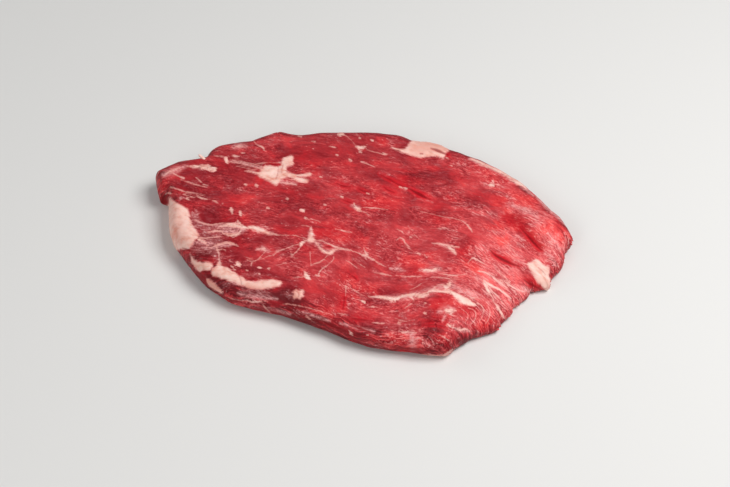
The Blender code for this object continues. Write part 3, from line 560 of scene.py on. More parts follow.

# Where the lean is paler, or darker where the last number is below zero, in the same form.
# Besides the lean's own tone, many are painted shade, on the far pad's shaded side, in the near corner and
# along the near rim, and painted light over the brighter thin end.
LEAN_TONES_AND_PAINTED_SHADING = [
    (164, 184, 9, 12, 0.55), (178, 228, 10, 20, -0.3), (205, 195, 38, 22, -0.35),
    (215, 205, 55, 42, -0.22), (185, 190, 12, 10, -0.35), (225, 168, 40, 9, -0.5), (199, 169, 10, 5, 0.35),
    (173, 172, 8, 5, 0.5), (216, 213, 16, 9, -0.3), (241, 198, 18, 10, 0.5), (262, 200, 12, 12, 0.1),
    (260, 229.5, 12, 4, 0.9), (266, 180, 8, 5, 0.3), (218, 237, 26, 15, -0.85), (210, 202, 10, 12, 0.3),
    (250, 206, 22, 14, 0.15), (361, 260, 7, 5, 0.25), (240, 245, 16, 9, -0.35), (206, 252, 10, 7, -1.3),
    (208, 273, 7, 5, 0.6), (170, 195, 6, 6, 0.4), (204, 281, 15, 10, -1.3), (190, 249.5, 6, 3.5, 0.7),
    (246, 269, 22, 6, -0.6), (252, 289, 26, 5, -0.6), (256, 279, 22, 5, -0.45), (270, 288, 28, 8, -0.35),
    (236, 297, 8, 5, -0.4), (251, 302, 17, 5, 1), (286, 296, 11, 8, -1.5), (297, 306, 8, 7, -1),
    (292, 300, 9, 6, -0.4), (302, 319, 20, 7, -1.2), (311, 304, 7, 5, 0.5), (326, 313, 14, 4.5, 1.2),
    (341, 308, 18, 8, 0.45), (341, 329, 9, 6, -0.6), (345, 338, 26, 4, -0.5), (330, 299, 8, 5, -0.25),
    (268, 141, 13, 5, 0.6), (300, 152, 34, 12, -0.35), (350, 155, 30, 13, -0.28), (292, 141, 30, 5, 0.12),
    (301, 156, 18, 6, -0.3), (252, 166, 12, 4, -0.5), (312, 178, 22, 6, 0.3), (335, 186, 12, 8, 0.4),
    (330, 171, 7, 5, 0.2), (300, 199, 45, 14, -0.32), (287, 209, 16, 6, -0.25), (345, 211, 12, 5, -0.25),
    (285, 228, 18, 8, -0.45), (298, 190, 14, 7, -0.35), (335, 198, 9, 10, 0.25), (286, 182, 8, 4, 0.5),
    (414, 177, 15, 8, -0.75), (380, 176, 12, 6, -0.35), (450, 178, 26, 6, -0.25), (395, 176, 10, 5, 0.3),
    (392, 147, 14, 8, 0.35), (430, 147, 23, 7, -1), (414, 150, 14, 6, -0.5), (424, 155.5, 20, 3, -0.5),
    (430, 158, 9, 4, 0.3), (475, 196, 10, 6, -0.55), (438, 211, 13, 15, -0.55), (362, 231, 15, 7, -0.5),
    (395, 212, 12, 14, -0.2), (408, 232, 15, 9, 0.4), (375, 202, 16, 5, 0.35), (425, 200, 30, 12, 0.2),
    (383, 226, 8, 16, 0.25), (334, 241, 15, 10, 0.75), (306, 249, 9, 14, -0.35), (348, 271, 10, 6, -0.3),
    (352, 264, 14, 5, 0.35), (358, 251, 12, 9, 0.25), (275, 262, 12, 10, 0.25), (265, 226, 10, 5, 0.25),
    (300, 265, 14, 8, 0.25), (328, 273, 8, 9, 0.7), (367, 297, 8, 4, 0.35), (358, 286, 22, 7, 0.45),
    (392, 294, 16, 7, -0.5), (325, 291, 18, 6, -0.25), (336, 305, 12, 8, -0.3), (385, 283, 8, 4, 0.3),
    (415, 271, 10, 5, -0.65), (410, 258, 16, 7, 0.35), (399, 267, 12, 5, 0.4), (385, 246, 9, 8, 0.2),
    (418, 303, 14, 8, 0.4), (452, 281, 10, 4, -0.25), (431, 259, 13, 10, 0.55), (435, 279, 23, 9, 0.45),
    (452, 230, 14, 8, 0.35), (425, 235, 20, 12, 0.2), (438, 296.5, 7, 2.5, -0.9), (435, 325, 10, 7, -1.7),
    (446, 338, 6, 6, 1.1), (455, 321, 8, 6, 0.35), (466, 341, 14, 4, -0.5), (465, 295, 18, 5, 0.4),
    (452, 309, 8, 5, 0.3), (408, 334, 15, 9, 1.1), (423, 344, 17, 6, 1.1), (420, 350, 18, 3, -0.4),
    (385, 339, 16, 9, 1), (385, 320, 14, 6, 0.35), (358, 324, 10, 9, 0.35), (466, 323, 18, 10, 1.1),
    (496, 322, 11, 7, 0.45), (500, 312, 18, 12, 0.75), (509, 305, 12, 10, 0.6), (462, 300, 18, 10, 0.5),
    (467, 312, 11, 9, -0.6), (496, 180, 18, 8, 0.9), (462, 165, 18, 5, 0.3), (467, 190, 14, 7, 0.3),
    (478, 212, 12, 7, 0.45), (453, 203, 15, 8, 0.25), (509, 199, 8, 8, 0.4), (513, 221, 11, 8, -0.75),
    (524, 229, 9, 6, -0.8), (531, 239, 6, 5, -0.35), (530, 205, 22, 14, 0.65), (517, 208, 12, 6, 0.9),
    (543, 225, 14, 13, 0.95), (545, 209, 12, 4, -0.45), (552, 229, 11, 8, -0.4), (562, 224, 8, 5, -0.4),
    (468, 241, 9, 8, -0.4), (508, 246, 28, 28, 0.72), (503, 231, 16, 9, 0.45), (495, 260, 10, 12, 0.35),
    (518, 260, 11, 8, 0.85), (476, 252, 13, 10, 0.5), (478, 276, 13, 9, 0.65), (557, 250, 14, 20, 1.3),
    (566, 240, 8, 8, 0.7), (546, 261, 8, 10, 0.45), (540, 245, 6, 4, 0.4), (490, 285, 28, 20, 0.75),
    (523, 292, 15, 9, 1.05), (504, 281, 9, 5, -0.3), (516, 270, 10, 7, 0.5), (518, 239, 8, 5, 0.5),
]

# Where the lean is a clear, bright red, in the same form.
CLEAR_LEAN = [
    (165, 188, 6, 9, 0.8), (240, 200, 14, 8, 0.6), (262, 181, 8, 5, 0.6), (333, 180, 6, 7, 0.5),
    (315, 168, 9, 5, 0.6), (375, 203, 17, 6, 1), (398, 180, 16, 7, 0.5), (418, 197, 14, 6, 0.5),
    (448, 200, 9, 6, 0.5), (324, 231, 14, 7, 0.7), (340, 240, 16, 7, 0.5), (340, 274, 14, 8, 0.15),
    (366, 290, 16, 6, 0.6), (405, 262, 18, 8, 0.5), (428, 256, 12, 6, 0.6), (464, 250, 9, 8, 0.8),
    (497, 202, 10, 7, 0.7), (508, 217, 9, 6, 0.9), (518, 225, 8, 6, 0.9), (530, 237, 6, 6, 0.9),
    (538, 246, 6, 4, 0.8), (502, 258, 15, 4, 0.7), (530, 283, 7, 5, 0.8), (438, 304, 12, 8, 0.9),
    (448, 300, 14, 6, 0.5), (467, 312, 12, 8, 0.7), (489, 322, 8, 5, 0.6), (443, 338, 6, 7, 0.7),
    (436, 322, 14, 6, 0.7), (343, 303, 6, 9, 0.7), (322, 311, 20, 7, 0.9), (355, 320, 14, 7, 0.8),
    (500, 178, 16, 7, 0.7), (392, 338, 16, 7, 0.5), (200, 272, 6, 7, 0.8), (277, 302, 5, 2.5, 0.4),
    (532, 196, 12, 8, 0.4), (560, 236, 9, 8, 0.5), (230, 218, 12, 6, 0.4), (250, 258, 10, 6, 0.1),
    (440, 170, 14, 6, 0.4), (477, 270, 8, 8, 0.5), (350, 192, 8, 5, 0.3),
    (300, 270, 14, 8, 0.1), (190, 160, 12, 4, 0.4), (384, 143, 14, 5, 0.4), (246, 138, 10, 4, 0.5),
    (525, 203, 14, 8, 0.7), (497, 226, 9, 6, 0.7), (470, 265, 8, 14, 0.5), (460, 200, 10, 6, 0.2),
    (335, 238, 14, 10, 0.3), (348, 283, 18, 6, 0.3), (505, 240, 7, 5, 0.5), (550, 228, 10, 8, 0.4),
    (395, 196, 10, 5, 0.3),
]

# Which way the grain runs: (x, y, fall for each pixel to the right) on the photograph.
GRAIN_RUNS = [
    (180, 185, 0.27), (200, 196, 0.22), (240, 180, 0.2), (225, 162, 0.18), (250, 166, 0.2),
    (270, 200, 0.16), (300, 150, 0.12), (330, 146, 0.15), (362, 150, 0.28), (345, 185, 0.25),
    (362, 191, 0.35), (395, 182, 0.5), (420, 195, 0.42), (375, 207, 0.14), (345, 230, 0.24),
    (320, 222, 0.3), (300, 262, 0.05), (400, 232, 0.35), (355, 264, 0.5), (340, 279, 0.45),
    (372, 287, 0.1), (400, 289, -0.15), (418, 284, -0.4), (383, 274, 0.2), (410, 276, 0.03),
    (452, 276, 0.02), (445, 245, 0.14), (448, 217, 0.26), (435, 160, 0.2), (470, 200, 0.48),
    (500, 175, 0.55), (525, 211, 0.45), (535, 200, 0.8), (548, 238, 0.75), (560, 252, 0.8),
    (529, 241, 0.95), (500, 258, 0.5), (488, 268, 0.45), (512, 286, 0.38), (505, 295, 0.6), (503, 304, 1),
    (498, 312, 1.75), (490, 296, 1.35), (480, 314, 2.6), (488, 322, 2.8), (470, 328, 1.2),
    (540, 275, 0.45), (545, 215, 0.65), (250, 300, 0.24), (300, 313, 0.3), (350, 326, 0.36),
    (400, 345, 0.15), (430, 350, 0.05), (340, 306, 0.55), (325, 312, 0.35), (385, 322, 0.1),
    (420, 325, -0.05), (440, 312, 0.1), (460, 300, 0.3), (432, 340, 0.08), (448, 334, 0.2),
    (440, 326, 0.12), (230, 243, 0), (226, 250, -0.08), (262, 264, 0.08), (200, 240, 0.1), (180, 225, 0.1),
    (245, 288, 0.2), (480, 240, 0.6), (465, 262, 0.45),
]


# Helpers, and the way between the photograph and the table

def colour(red, green, blue):
    """A colour as it is seen, 0 to 255, turned into the linear values that a shader takes."""
    parts = np.array([red, green, blue]) / 255.0
    linear = np.where(parts <= 0.04045, parts / 12.92, ((parts + 0.055) / 1.055) ** 2.4)
    return (*linear.tolist(), 1.0)


def smooth_step(values, low, high):
    """0 below low, 1 above high, and a smooth rise between."""
    share = np.clip((values - low) / (high - low), 0.0, 1.0)
    return share * share * (3.0 - 2.0 * share)


def camera_axes():
    """The camera's right, up and back directions."""
    azimuth = math.radians(CAMERA_AZIMUTH)
    elevation = math.radians(CAMERA_ELEVATION)
    flat = math.cos(elevation)
    back = np.array([math.sin(azimuth) * flat, -math.cos(azimuth) * flat, math.sin(elevation)])
    right = np.array([math.cos(azimuth), math.sin(azimuth), 0.0])
    return right, np.cross(back, right), back


def on_photo(spots):
    """Where spots of the steak fall on the photograph, in its pixels."""
    right, up, back = camera_axes()
    local = spots - np.array(CAMERA_TARGET) - back * CAMERA_DISTANCE
    depth = -(local @ back)
    across = PHOTO_WIDTH / 2 + FOCAL_PIXELS * (local @ right) / depth
    down = PHOTO_HEIGHT / 2 - FOCAL_PIXELS * (local @ up) / depth
    return np.stack([across, down], axis=1)


def screen_to_plan():
    """The moves over the table, in metres, that shift a spot one pixel right and one pixel down."""
    right, _, back = camera_axes()
    near = back[:2] / np.linalg.norm(back[:2])
    return np.array([right[:2] * PIXEL, near * PIXEL / back[2]])


def from_photo(across, down, height):
    """The spot at one height above the table that is seen at a pixel of the photograph."""
    right, up, back = camera_axes()
    eye = np.array(CAMERA_TARGET) + back * CAMERA_DISTANCE
    ray = (across - PHOTO_WIDTH / 2) / FOCAL_PIXELS * right
    ray = ray - (down - PHOTO_HEIGHT / 2) / FOCAL_PIXELS * up - back
    return eye + (height - eye[2]) / ray[2] * ray


def blended(table, columns, rows, right, top):
    """Values between the four cells of a table that lie around each spot."""
    column, next_column = columns
    row, next_row = rows
    low = table[column, row] * (1 - right) + table[next_column, row] * right
    high = table[column, next_row] * (1 - right) + table[next_column, next_row] * right
    return low * (1 - top) + high * top


def soft_noise(across, along, seed):
    """Seeded smooth noise from -1 to 1, with features about one unit wide."""
    table = np.random.default_rng(seed).uniform(-1.0, 1.0, (NOISE_CELLS, NOISE_CELLS))
    column = np.floor(across).astype(int)
    row = np.floor(along).astype(int)
    right = smooth_step(across - column, 0.0, 1.0)
    top = smooth_step(along - row, 0.0, 1.0)
    columns = (column % NOISE_CELLS, (column + 1) % NOISE_CELLS)
    rows = (row % NOISE_CELLS, (row + 1) % NOISE_CELLS)
    return blended(table, columns, rows, right, top)


def bent_line(points, closed=False, steps=4):
    """A smooth curve through the points, with the same columns."""
    points = np.array(points, float)
    count = len(points)
    rows = []
    for index in range(count if closed else count - 1):
        places = [index - 1, index, index + 1, index + 2]
        if closed:
            places = [place % count for place in places]
        else:
            places = [min(max(place, 0), count - 1) for place in places]
        a, b, c, d = points[places]
        for share in np.arange(steps) / steps:
            square = share * share
            bend = (2 * a - 5 * b + 4 * c - d) * square + (3 * b - a - 3 * c + d) * square * share
            rows.append(0.5 * (2 * b + (c - a) * share + bend))
    if not closed:
        rows.append(points[-1])
    return np.array(rows)


def near_box(spots, line, reach):
    """Which spots are within reach of a line's box."""
    low = line[:, :2].min(axis=0) - reach
    high = line[:, :2].max(axis=0) + reach
    return np.flatnonzero(((spots > low) & (spots < high)).all(axis=1))


def pad_depth(spots, outlines):
    """How far each spot is inside one of the outlines, up to REACH; below zero is outside."""
    depth = np.full(len(spots), -REACH)
    for outline in outlines:
        loop = bent_line(outline, closed=True)
        near = near_box(spots, loop, REACH)
        here = spots[near]
        distance = np.full(len(near), REACH)
        inside = np.zeros(len(near), bool)
        for start, end in zip(loop, np.roll(loop, -1, axis=0)):
            step = end - start
            along = np.clip((here - start) @ step / (step @ step), 0.0, 1.0)
            way = here - start - along[:, None] * step
            distance = np.minimum(distance, np.hypot(way[:, 0], way[:, 1]))
            crosses = (start[1] > here[:, 1]) != (end[1] > here[:, 1])
            slope = step[0] / step[1] if abs(step[1]) > 1e-9 else 0.0
            inside ^= crosses & (here[:, 0] < start[0] + (here[:, 1] - start[1]) * slope)
        depth[near] = np.maximum(depth[near], np.where(inside, distance, -distance))
    return depth


def soft_strokes(spots, strokes):
    """1 on the middle of each stroke, fading to 0 beyond its half width."""
    nearest = NearestStroke(spots, [(points, 0.0) for points in strokes])
    fade = np.exp(-((nearest.far / np.maximum(nearest.width, 0.1)) ** 2))
    return np.where(nearest.width > 0.0, fade, 0.0)


class NearestStroke:
    """For each spot: the way to the nearest stroke, how far it is, and the half width and depth there."""

    def __init__(self, spots, strokes):
        self.way = np.zeros((len(spots), 2))
        self.far = np.full(len(spots), REACH)
        self.width = np.zeros(len(spots))
        self.depth = np.zeros(len(spots))
        outside = np.full(len(spots), REACH)
        for points, depth in strokes:
            line = bent_line(points)
            near = near_box(spots, line, REACH)
            here = spots[near]
            for start, end in zip(line, line[1:]):
                step = end[:2] - start[:2]
                along = np.clip((here - start[:2]) @ step / (step @ step), 0.0, 1.0)
                way = start[:2] + along[:, None] * step - here
                far = np.hypot(way[:, 0], way[:, 1])
                width = start[2] + (end[2] - start[2]) * along
                closer = far - width < outside[near]
                chosen = near[closer]
                outside[chosen] = (far - width)[closer]
                self.way[chosen] = way[closer]
                self.far[chosen] = far[closer]
                self.width[chosen] = width[closer]
                self.depth[chosen] = depth


def soft_patches(spots, patches):
    """The soft oval patches at each spot, added up."""
    strength = np.zeros(len(spots))
    for across, down, wide, tall, power in patches:
        square = ((spots[:, 0] - across) / wide) ** 2 + ((spots[:, 1] - down) / tall) ** 2
        strength += power * np.exp(-square)
    return strength


class Grain:
    """Distances along and across the grain over the plan, fitted to the runs seen on the photograph."""

    SPACING = 0.0065
    HALF_LENGTH = 0.200
    HALF_WIDTH = 0.137
    # How long each run is drawn, in pixels, how high above the table it lies, and how its pull fades.
    RUN_PIXELS = 8.0
    HEIGHT = 0.02
    SOFTNESS = 0.006
    FADE = 1.7

    def __init__(self):
        columns = int(2 * self.HALF_LENGTH / self.SPACING) + 1
        rows = int(2 * self.HALF_WIDTH / self.SPACING) + 1
        self.shape = (columns, rows)
        across = -self.HALF_LENGTH + np.arange(columns) * self.SPACING
        up = -self.HALF_WIDTH + np.arange(rows) * self.SPACING
        spots = np.stack(np.meshgrid(across, up, indexing="ij"), axis=2).reshape(-1, 2)
        along = self.directions(spots)
        side = np.stack([-along[:, 1], along[:, 0]], axis=1)
        self.fields = self.fitted(along, side)

    def directions(self, spots):
        """The grain's direction at each spot, blended from the runs."""
        total = np.zeros((len(spots), 2))
        for across, down, fall in GRAIN_RUNS:
            step = self.RUN_PIXELS / math.hypot(1.0, fall)
            start = from_photo(across, down, self.HEIGHT)[:2]
            end = from_photo(across + step, down + step * fall, self.HEIGHT)[:2]
            run = (end - start) / np.linalg.norm(end - start)
            square = ((spots - start) ** 2).sum(axis=1)
            total += run / (square[:, None] + self.SOFTNESS**2) ** self.FADE
        return total / np.linalg.norm(total, axis=1)[:, None]

    def fitted(self, along, side):
        """Solves for the two distances whose slopes match the directions best."""
        numbers = np.arange(self.shape[0] * self.shape[1]).reshape(self.shape)
        stiffness = np.zeros((numbers.size, numbers.size))
        pull = np.zeros((numbers.size, 2))
        neighbours = [(numbers[:-1], numbers[1:]), (numbers[:, :-1], numbers[:, 1:])]
        for axis, (first, second) in enumerate(neighbours):
            first = first.ravel()
            second = second.ravel()
            slopes = [way[first, axis] + way[second, axis] for way in (along, side)]
            slope = np.stack(slopes, axis=1) * (0.5 * self.SPACING)
            np.add.at(stiffness, (first, first), 1.0)
            np.add.at(stiffness, (second, second), 1.0)
            np.add.at(stiffness, (first, second), -1.0)
            np.add.at(stiffness, (second, first), -1.0)
            np.add.at(pull, second, slope)
            np.add.at(pull, first, -slope)
        stiffness[0, 0] += 1.0
        return np.linalg.solve(stiffness, pull).reshape(*self.shape, 2)

    def at(self, plan):
        """Distances along and across the grain at spots of the plan."""
        place = (plan + np.array([self.HALF_LENGTH, self.HALF_WIDTH])) / self.SPACING
        place = np.clip(place, 0.0, np.array(self.shape) - 1.001)
        cell = place.astype(int)
        share = place - cell
        column, row = cell.T
        return blended(self.fields, (column, column + 1), (row, row + 1), share[:, :1], share[:, 1:])


# The skin over the solid

class Solid:
    """The frame's solid, with its rim in order and a way to feel its surface from above and below."""

    WELD = 0.00002
    MIDDLE_HEIGHT = 0.0095

    def __init__(self):
        shape = bmesh.new()
        shape.from_mesh(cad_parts["flank_steak"].data)
        bmesh.ops.remove_doubles(shape, verts=shape.verts, dist=self.WELD)
        shape.normal_update()
        shape.verts.index_update()
        self.tree = BVHTree.FromBMesh(shape)
        self.rim = self.ordered_rim(shape)
        shape.free()

    def ordered_rim(self, shape):
        """The corners where the faces that look up meet the faces that look down, anticlockwise."""
        ways = {}
        for edge in shape.edges:
            if len(edge.link_faces) != 2:
                continue
            first, second = edge.link_faces
            if (first.normal.z > 0.0) != (second.normal.z > 0.0):
                for here, there in (tuple(edge.verts), tuple(edge.verts)[::-1]):
                    ways.setdefault(here, []).append(there)
        longest = []
        left = set(ways)
        for here in sorted(ways, key=lambda corner: corner.index):
            if here not in left:
                continue
            left.discard(here)
            chain = [here]
            while True:
                onward = [there for there in ways[here] if there in left]
                if not onward:
                    break
                here = onward[0]
                left.discard(here)
                chain.append(here)
            if len(chain) > len(longest):
                longest = chain
        rim = np.array([corner.co[:] for corner in longest])
        turn = rim[:, 0] * np.roll(rim[:, 1], -1) - rim[:, 1] * np.roll(rim[:, 0], -1)
        return rim if turn.sum() > 0 else rim[::-1]

    def height(self, plan, from_above):
        """The surface's height at spots of the plan."""
        start = 1.0 if from_above else -1.0
        heights = np.zeros(len(plan))
        for index, (across, up) in enumerate(plan.tolist()):
            hit = self.tree.ray_cast(Vector((across, up, start)), Vector((0.0, 0.0, -start)))[0]
            if hit is None:
                hit = self.tree.find_nearest(Vector((across, up, self.MIDDLE_HEIGHT)))[0]
            heights[index] = hit.z
        return heights


def evened(loop, count):
    """The same closed loop, with evenly spaced points."""
    closed = np.vstack([loop, loop[:1]])
    length = np.concatenate([[0.0], np.cumsum(np.linalg.norm(np.diff(closed, axis=0), axis=1))])
    places = np.linspace(0.0, length[-1], count, endpoint=False)
    return np.stack([np.interp(places, length, closed[:, axis]) for axis in range(loop.shape[1])], axis=1)


def calmed(loop, passes):
    """The same closed loop with its small bends taken out."""
    for _ in range(passes):
        loop = 0.5 * loop + 0.25 * (np.roll(loop, 1, axis=0) + np.roll(loop, -1, axis=0))
    return loop


class Rim:
    """The steak's rim as evenly spaced points, and the way inward from each."""

    # Where the loop starts on the near side, which is one corner of the skin's square grid.
    START_ACROSS = -0.105
    # Smoothing passes for the rim without its crags, and for the way inward; the crags' reach inward.
    CALM_PASSES = 260
    INWARD_PASSES = 120
    CRAG_REACH = 0.008

    def __init__(self, solid):
        loop = evened(bent_line(solid.rim, closed=True, steps=8), RIM_POINTS)
        near_side = np.where(loop[:, 1] < 0.0, abs(loop[:, 0] - self.START_ACROSS), 1.0)
        self.points = calmed(np.roll(loop, -int(near_side.argmin()), axis=0), 2)
        self.calm = calmed(self.points[:, :2], self.CALM_PASSES)
        self.detail = self.points[:, :2] - self.calm
        ahead = np.roll(self.calm, -4, axis=0) - np.roll(self.calm, 4, axis=0)
        inward = np.stack([-ahead[:, 1], ahead[:, 0]], axis=1)
        self.inward = calmed(inward / np.linalg.norm(inward, axis=1)[:, None], self.INWARD_PASSES)

    def inset(self, distance):
        """The rim's plan moved inward, with its crags fading out."""
        fade = max(0.0, 1.0 - distance / self.CRAG_REACH)
        return self.calm + self.inward * distance + self.detail * fade


def edge_inset(turn):
    """How far inside the rim the edge's rings lie, counted inward from the rim: close together at first."""
    return EDGE_REACH * (1.0 - math.cos(math.pi / 2 * turn / EDGE_RINGS))


def ring_places(rings):
    """For each point of a square grid: its ring, and its place along that ring."""
    reach = np.arange(-rings, rings + 1)
    column, row = np.meshgrid(reach, reach, indexing="ij")
    ring = np.maximum(abs(column), abs(row))
    on_low = (row == -ring) & (column < ring)
    on_right = (column == ring) & (row < ring)
    on_high = (row == ring) & (column > -ring)
    place = np.select(
        [on_low, on_right, on_high],
        [column + ring, 2 * ring + row + ring, 4 * ring + ring - column],
        6 * ring + ring - row,
    )
    return ring, place


class Skin:
    """The steak's fine surface: a top of rings, an edge that rolls under, and the underside."""

    def __init__(self, solid):
        self.solid = solid
        self.rim = Rim(solid)
        self.middle = self.rim.calm.mean(axis=0)
        self.build_top()
        self.build_edge()
        for _ in range(FIT_ROUNDS):
            self.fit_outline()
        self.build_underside()

    def build_top(self):
        """A square grid of cells, drawn out so that its outer ring lies along the rim."""
        ring, place = ring_places(SKIN_RINGS)
        spoke = np.where(ring > 0, place / np.maximum(8 * ring, 1), 0.0) * RIM_POINTS
        low = np.floor(spoke).astype(int) % RIM_POINTS
        share = (spoke - np.floor(spoke))[..., None]

        def along_loop(loop):
            return loop[low] * (1 - share) + loop[(low + 1) % RIM_POINTS] * share

        inner = SKIN_RINGS - EDGE_RINGS
        outward = along_loop(self.rim.inset(EDGE_REACH)) - self.middle
        plan = self.middle + outward * (ring / inner)[..., None]
        for turn in range(EDGE_RINGS):
            here = ring == SKIN_RINGS - turn
            plan[here] = along_loop(self.rim.inset(edge_inset(turn)))[here]
        self.smooth_inside(plan, ring < inner)
        height = self.solid.height(plan.reshape(-1, 2), True).reshape(ring.shape)
        on_rim = ring == SKIN_RINGS
        height[on_rim] = along_loop(self.rim.points[:, 2:])[on_rim][:, 0]
        self.smooth_inside(height[..., None], ~on_rim)
        over_edge = np.clip((SKIN_RINGS - ring) / EDGE_RINGS, 0.0, 1.0)
        inset = EDGE_REACH * (1.0 - np.cos(math.pi / 2 * over_edge))
        self.spoke = [low.ravel()]
        self.hold = [(1.0 - (inset / EDGE_REACH) ** 2).ravel()]
        spots = np.concatenate([plan, height[..., None]], axis=2)
        self.spots = [spots.reshape(-1, 3)]
        self.unrolled = [self.unroll(spots, ring).reshape(-1, 2)]
        numbers = np.arange(ring.size).reshape(ring.shape)
        self.rim_numbers = np.zeros(RIM_POINTS, int)
        self.rim_numbers[place[on_rim]] = numbers[on_rim]
        corners = [numbers[:-1, :-1], numbers[1:, :-1], numbers[1:, 1:], numbers[:-1, 1:]]
        self.fours = [np.stack([corner.ravel() for corner in corners], axis=1)]

    def smooth_inside(self, values, inside):
        """Evens out values over the grid where inside is true."""
        for _ in range(SMOOTHING_PASSES):
            mean = values.copy()
            beside = values[2:, 1:-1] + values[:-2, 1:-1]
            mean[1:-1, 1:-1] = 0.25 * (beside + values[1:-1, 2:] + values[1:-1, :-2])
            values[inside] = (1.0 - SMOOTHING_SHARE) * values[inside] + SMOOTHING_SHARE * mean[inside]

    def unroll(self, spots, ring):
        """The plan with its steep edge laid out flat."""
        plan = spots[..., :2].copy()
        outward = plan - self.middle
        outward /= np.maximum(np.linalg.norm(outward, axis=2), 1e-6)[..., None]
        height = [spots[..., 2][ring == step].mean() for step in range(SKIN_RINGS + 1)]
        spread = 0.0
        for step in range(SKIN_RINGS - EDGE_RINGS, SKIN_RINGS + 1):
            if step > SKIN_RINGS - EDGE_RINGS:
                turn = SKIN_RINGS - step
                width = edge_inset(turn + 1) - edge_inset(turn)
                spread += math.hypot(width, height[step] - height[step - 1]) - width
            here = ring == step
            plan[here] += outward[here] * spread
        self.spread = spread
        return plan

    def build_edge(self):
        """Rings from the rim down and under."""
        numbers = self.rim_numbers
        start = len(self.spots[0])
        spread = self.spread
        before = self.rim.points
        outward = self.rim.points[:, :2] - self.middle
        outward /= np.linalg.norm(outward, axis=1)[:, None]
        for inset in UNDER_INSETS:
            plan = self.rim.inset(inset)
            height = calmed(self.solid.height(plan, False), 6)
            spots = np.concatenate([plan, height[:, None]], axis=1)
            spread += np.linalg.norm(spots - before, axis=1).mean()
            self.spots.append(spots)
            self.spoke.append(np.arange(RIM_POINTS))
            self.hold.append(np.ones(RIM_POINTS))
            self.unrolled.append(self.rim.points[:, :2] + outward * spread)
            fresh = np.arange(start, start + RIM_POINTS)
            self.fours.append(np.stack([numbers, fresh, np.roll(fresh, -1), np.roll(numbers, -1)], axis=1))
            numbers = fresh
            start += RIM_POINTS
            before = spots
        self.last_ring = numbers

    def fit_outline(self):
        """Shifts the edge so that its outline from the camera lies on the photograph's."""
        outline = evened(bent_line(PHOTO_OUTLINE, closed=True), OUTLINE_POINTS)
        ahead = np.roll(outline, -2, axis=0) - np.roll(outline, 2, axis=0)
        ahead /= np.linalg.norm(ahead, axis=1)[:, None]
        spoke = np.concatenate(self.spoke)
        hold = np.concatenate(self.hold)
        edge = hold > 0.05
        seen = on_photo(np.vstack(self.spots)[edge])
        places = []
        shifts = []
        for spot, along in zip(outline, ahead):
            outward = np.array([along[1], -along[0]])
            way = seen - spot
            near = (abs(way @ along) < FIT_ALONG) & (abs(way @ outward) < FIT_ACROSS)
            out = np.where(near, way @ outward, NOTHING_SEEN)
            furthest = out.argmax()
            if out[furthest] > NOTHING_SEEN:
                places.append(spoke[edge][furthest])
                shifts.append(-out[furthest] * outward)
        order = np.argsort(places)
        places = np.array(places)[order]
        shifts = np.array(shifts)[order]
        every = np.arange(RIM_POINTS)
        moves = [np.interp(every, places, shifts[:, axis], period=RIM_POINTS) for axis in (0, 1)]
        on_plan = calmed(np.stack(moves, axis=1) @ screen_to_plan(), 1)
        broad = calmed(on_plan, BROAD_PASSES)
        start = 0
        for part in self.spots:
            rows = slice(start, start + len(part))
            close = smooth_step(hold[rows, None], 0.6, 1.0)
            part[:, :2] += broad[spoke[rows]] * hold[rows, None] + (on_plan - broad)[spoke[rows]] * close
            self.keep_far_edge_in(part)
            start += len(part)

    def keep_far_edge_in(self, spots):
        """Brings back what passes the solid's far side, and lifts it by as much as the camera would see."""
        past = np.maximum(spots[:, 1] - (cad_high[1] - BOX_MARGIN - BOX_BEND), 0.0)
        back = np.where(past < 2.0 * BOX_BEND, past**2 / (4.0 * BOX_BEND), past - BOX_BEND)
        spots[:, 1] -= back
        spots[:, 2] += back * math.tan(math.radians(CAMERA_ELEVATION))

    def build_underside(self):
        """A sheet of triangles inside the last ring of the edge."""
        last_plan = self.spots[-1][:, :2]
        loop = [Vector(spot) for spot in last_plan.tolist()]
        reach = np.arange(-UNDER_REACH, UNDER_REACH, UNDER_SPACING)
        across, up = np.meshgrid(reach, reach, indexing="ij")
        draw = np.random.default_rng(SEED)
        jitter = draw.uniform(-UNDER_JITTER, UNDER_JITTER, (2, *across.shape)) * UNDER_SPACING
        spots = np.stack([across + jitter[0], up + jitter[1]], axis=2).reshape(-1, 2)
        outline_mm = (last_plan[::8] * 1000.0).tolist()
        spots = spots[pad_depth(spots * 1000.0, [outline_mm]) > UNDER_GAP_MM]
        boundary = len(loop)
        points = loop + [Vector(spot) for spot in spots.tolist()]
        result = geometry.delaunay_2d_cdt(points, [], [list(range(boundary))], 1, 1e-7)
        corners, _, faces, sources = result[:4]
        start = sum(len(part) for part in self.spots)
        plan = np.array([corner[:] for corner in corners])
        numbers = np.arange(start, start + len(plan))
        for index, source in enumerate(sources):
            if source and source[0] < boundary:
                numbers[index] = self.last_ring[source[0]]
        self.spots.append(np.concatenate([plan, np.zeros((len(plan), 1))], axis=1))
        self.unrolled.append(plan)
        self.threes = numbers[np.array([face[::-1] for face in faces])]
        self.under_start = start

    def edge_share(self, count):
        """1 at the rim and under it, falling to 0 where the top is level."""
        hold = np.concatenate(self.hold)
        values = np.zeros(count)
        values[: len(hold)] = smooth_step(hold, 0.25, 0.95)
        return values

    def triangles(self):
        """Every face as triangles, each four-sided one split along its shorter diagonal."""
        spots = np.vstack(self.spots)
        fours = np.vstack(self.fours)
        first = np.linalg.norm(spots[fours[:, 0]] - spots[fours[:, 2]], axis=1)
        second = np.linalg.norm(spots[fours[:, 1]] - spots[fours[:, 3]], axis=1)
        short = (first <= second)[:, None]
        one = np.where(short, fours[:, [0, 1, 2]], fours[:, [1, 2, 3]])
        two = np.where(short, fours[:, [0, 2, 3]], fours[:, [1, 3, 0]])
        return np.vstack([one, two, self.threes])


# The marks, and how they shape the skin

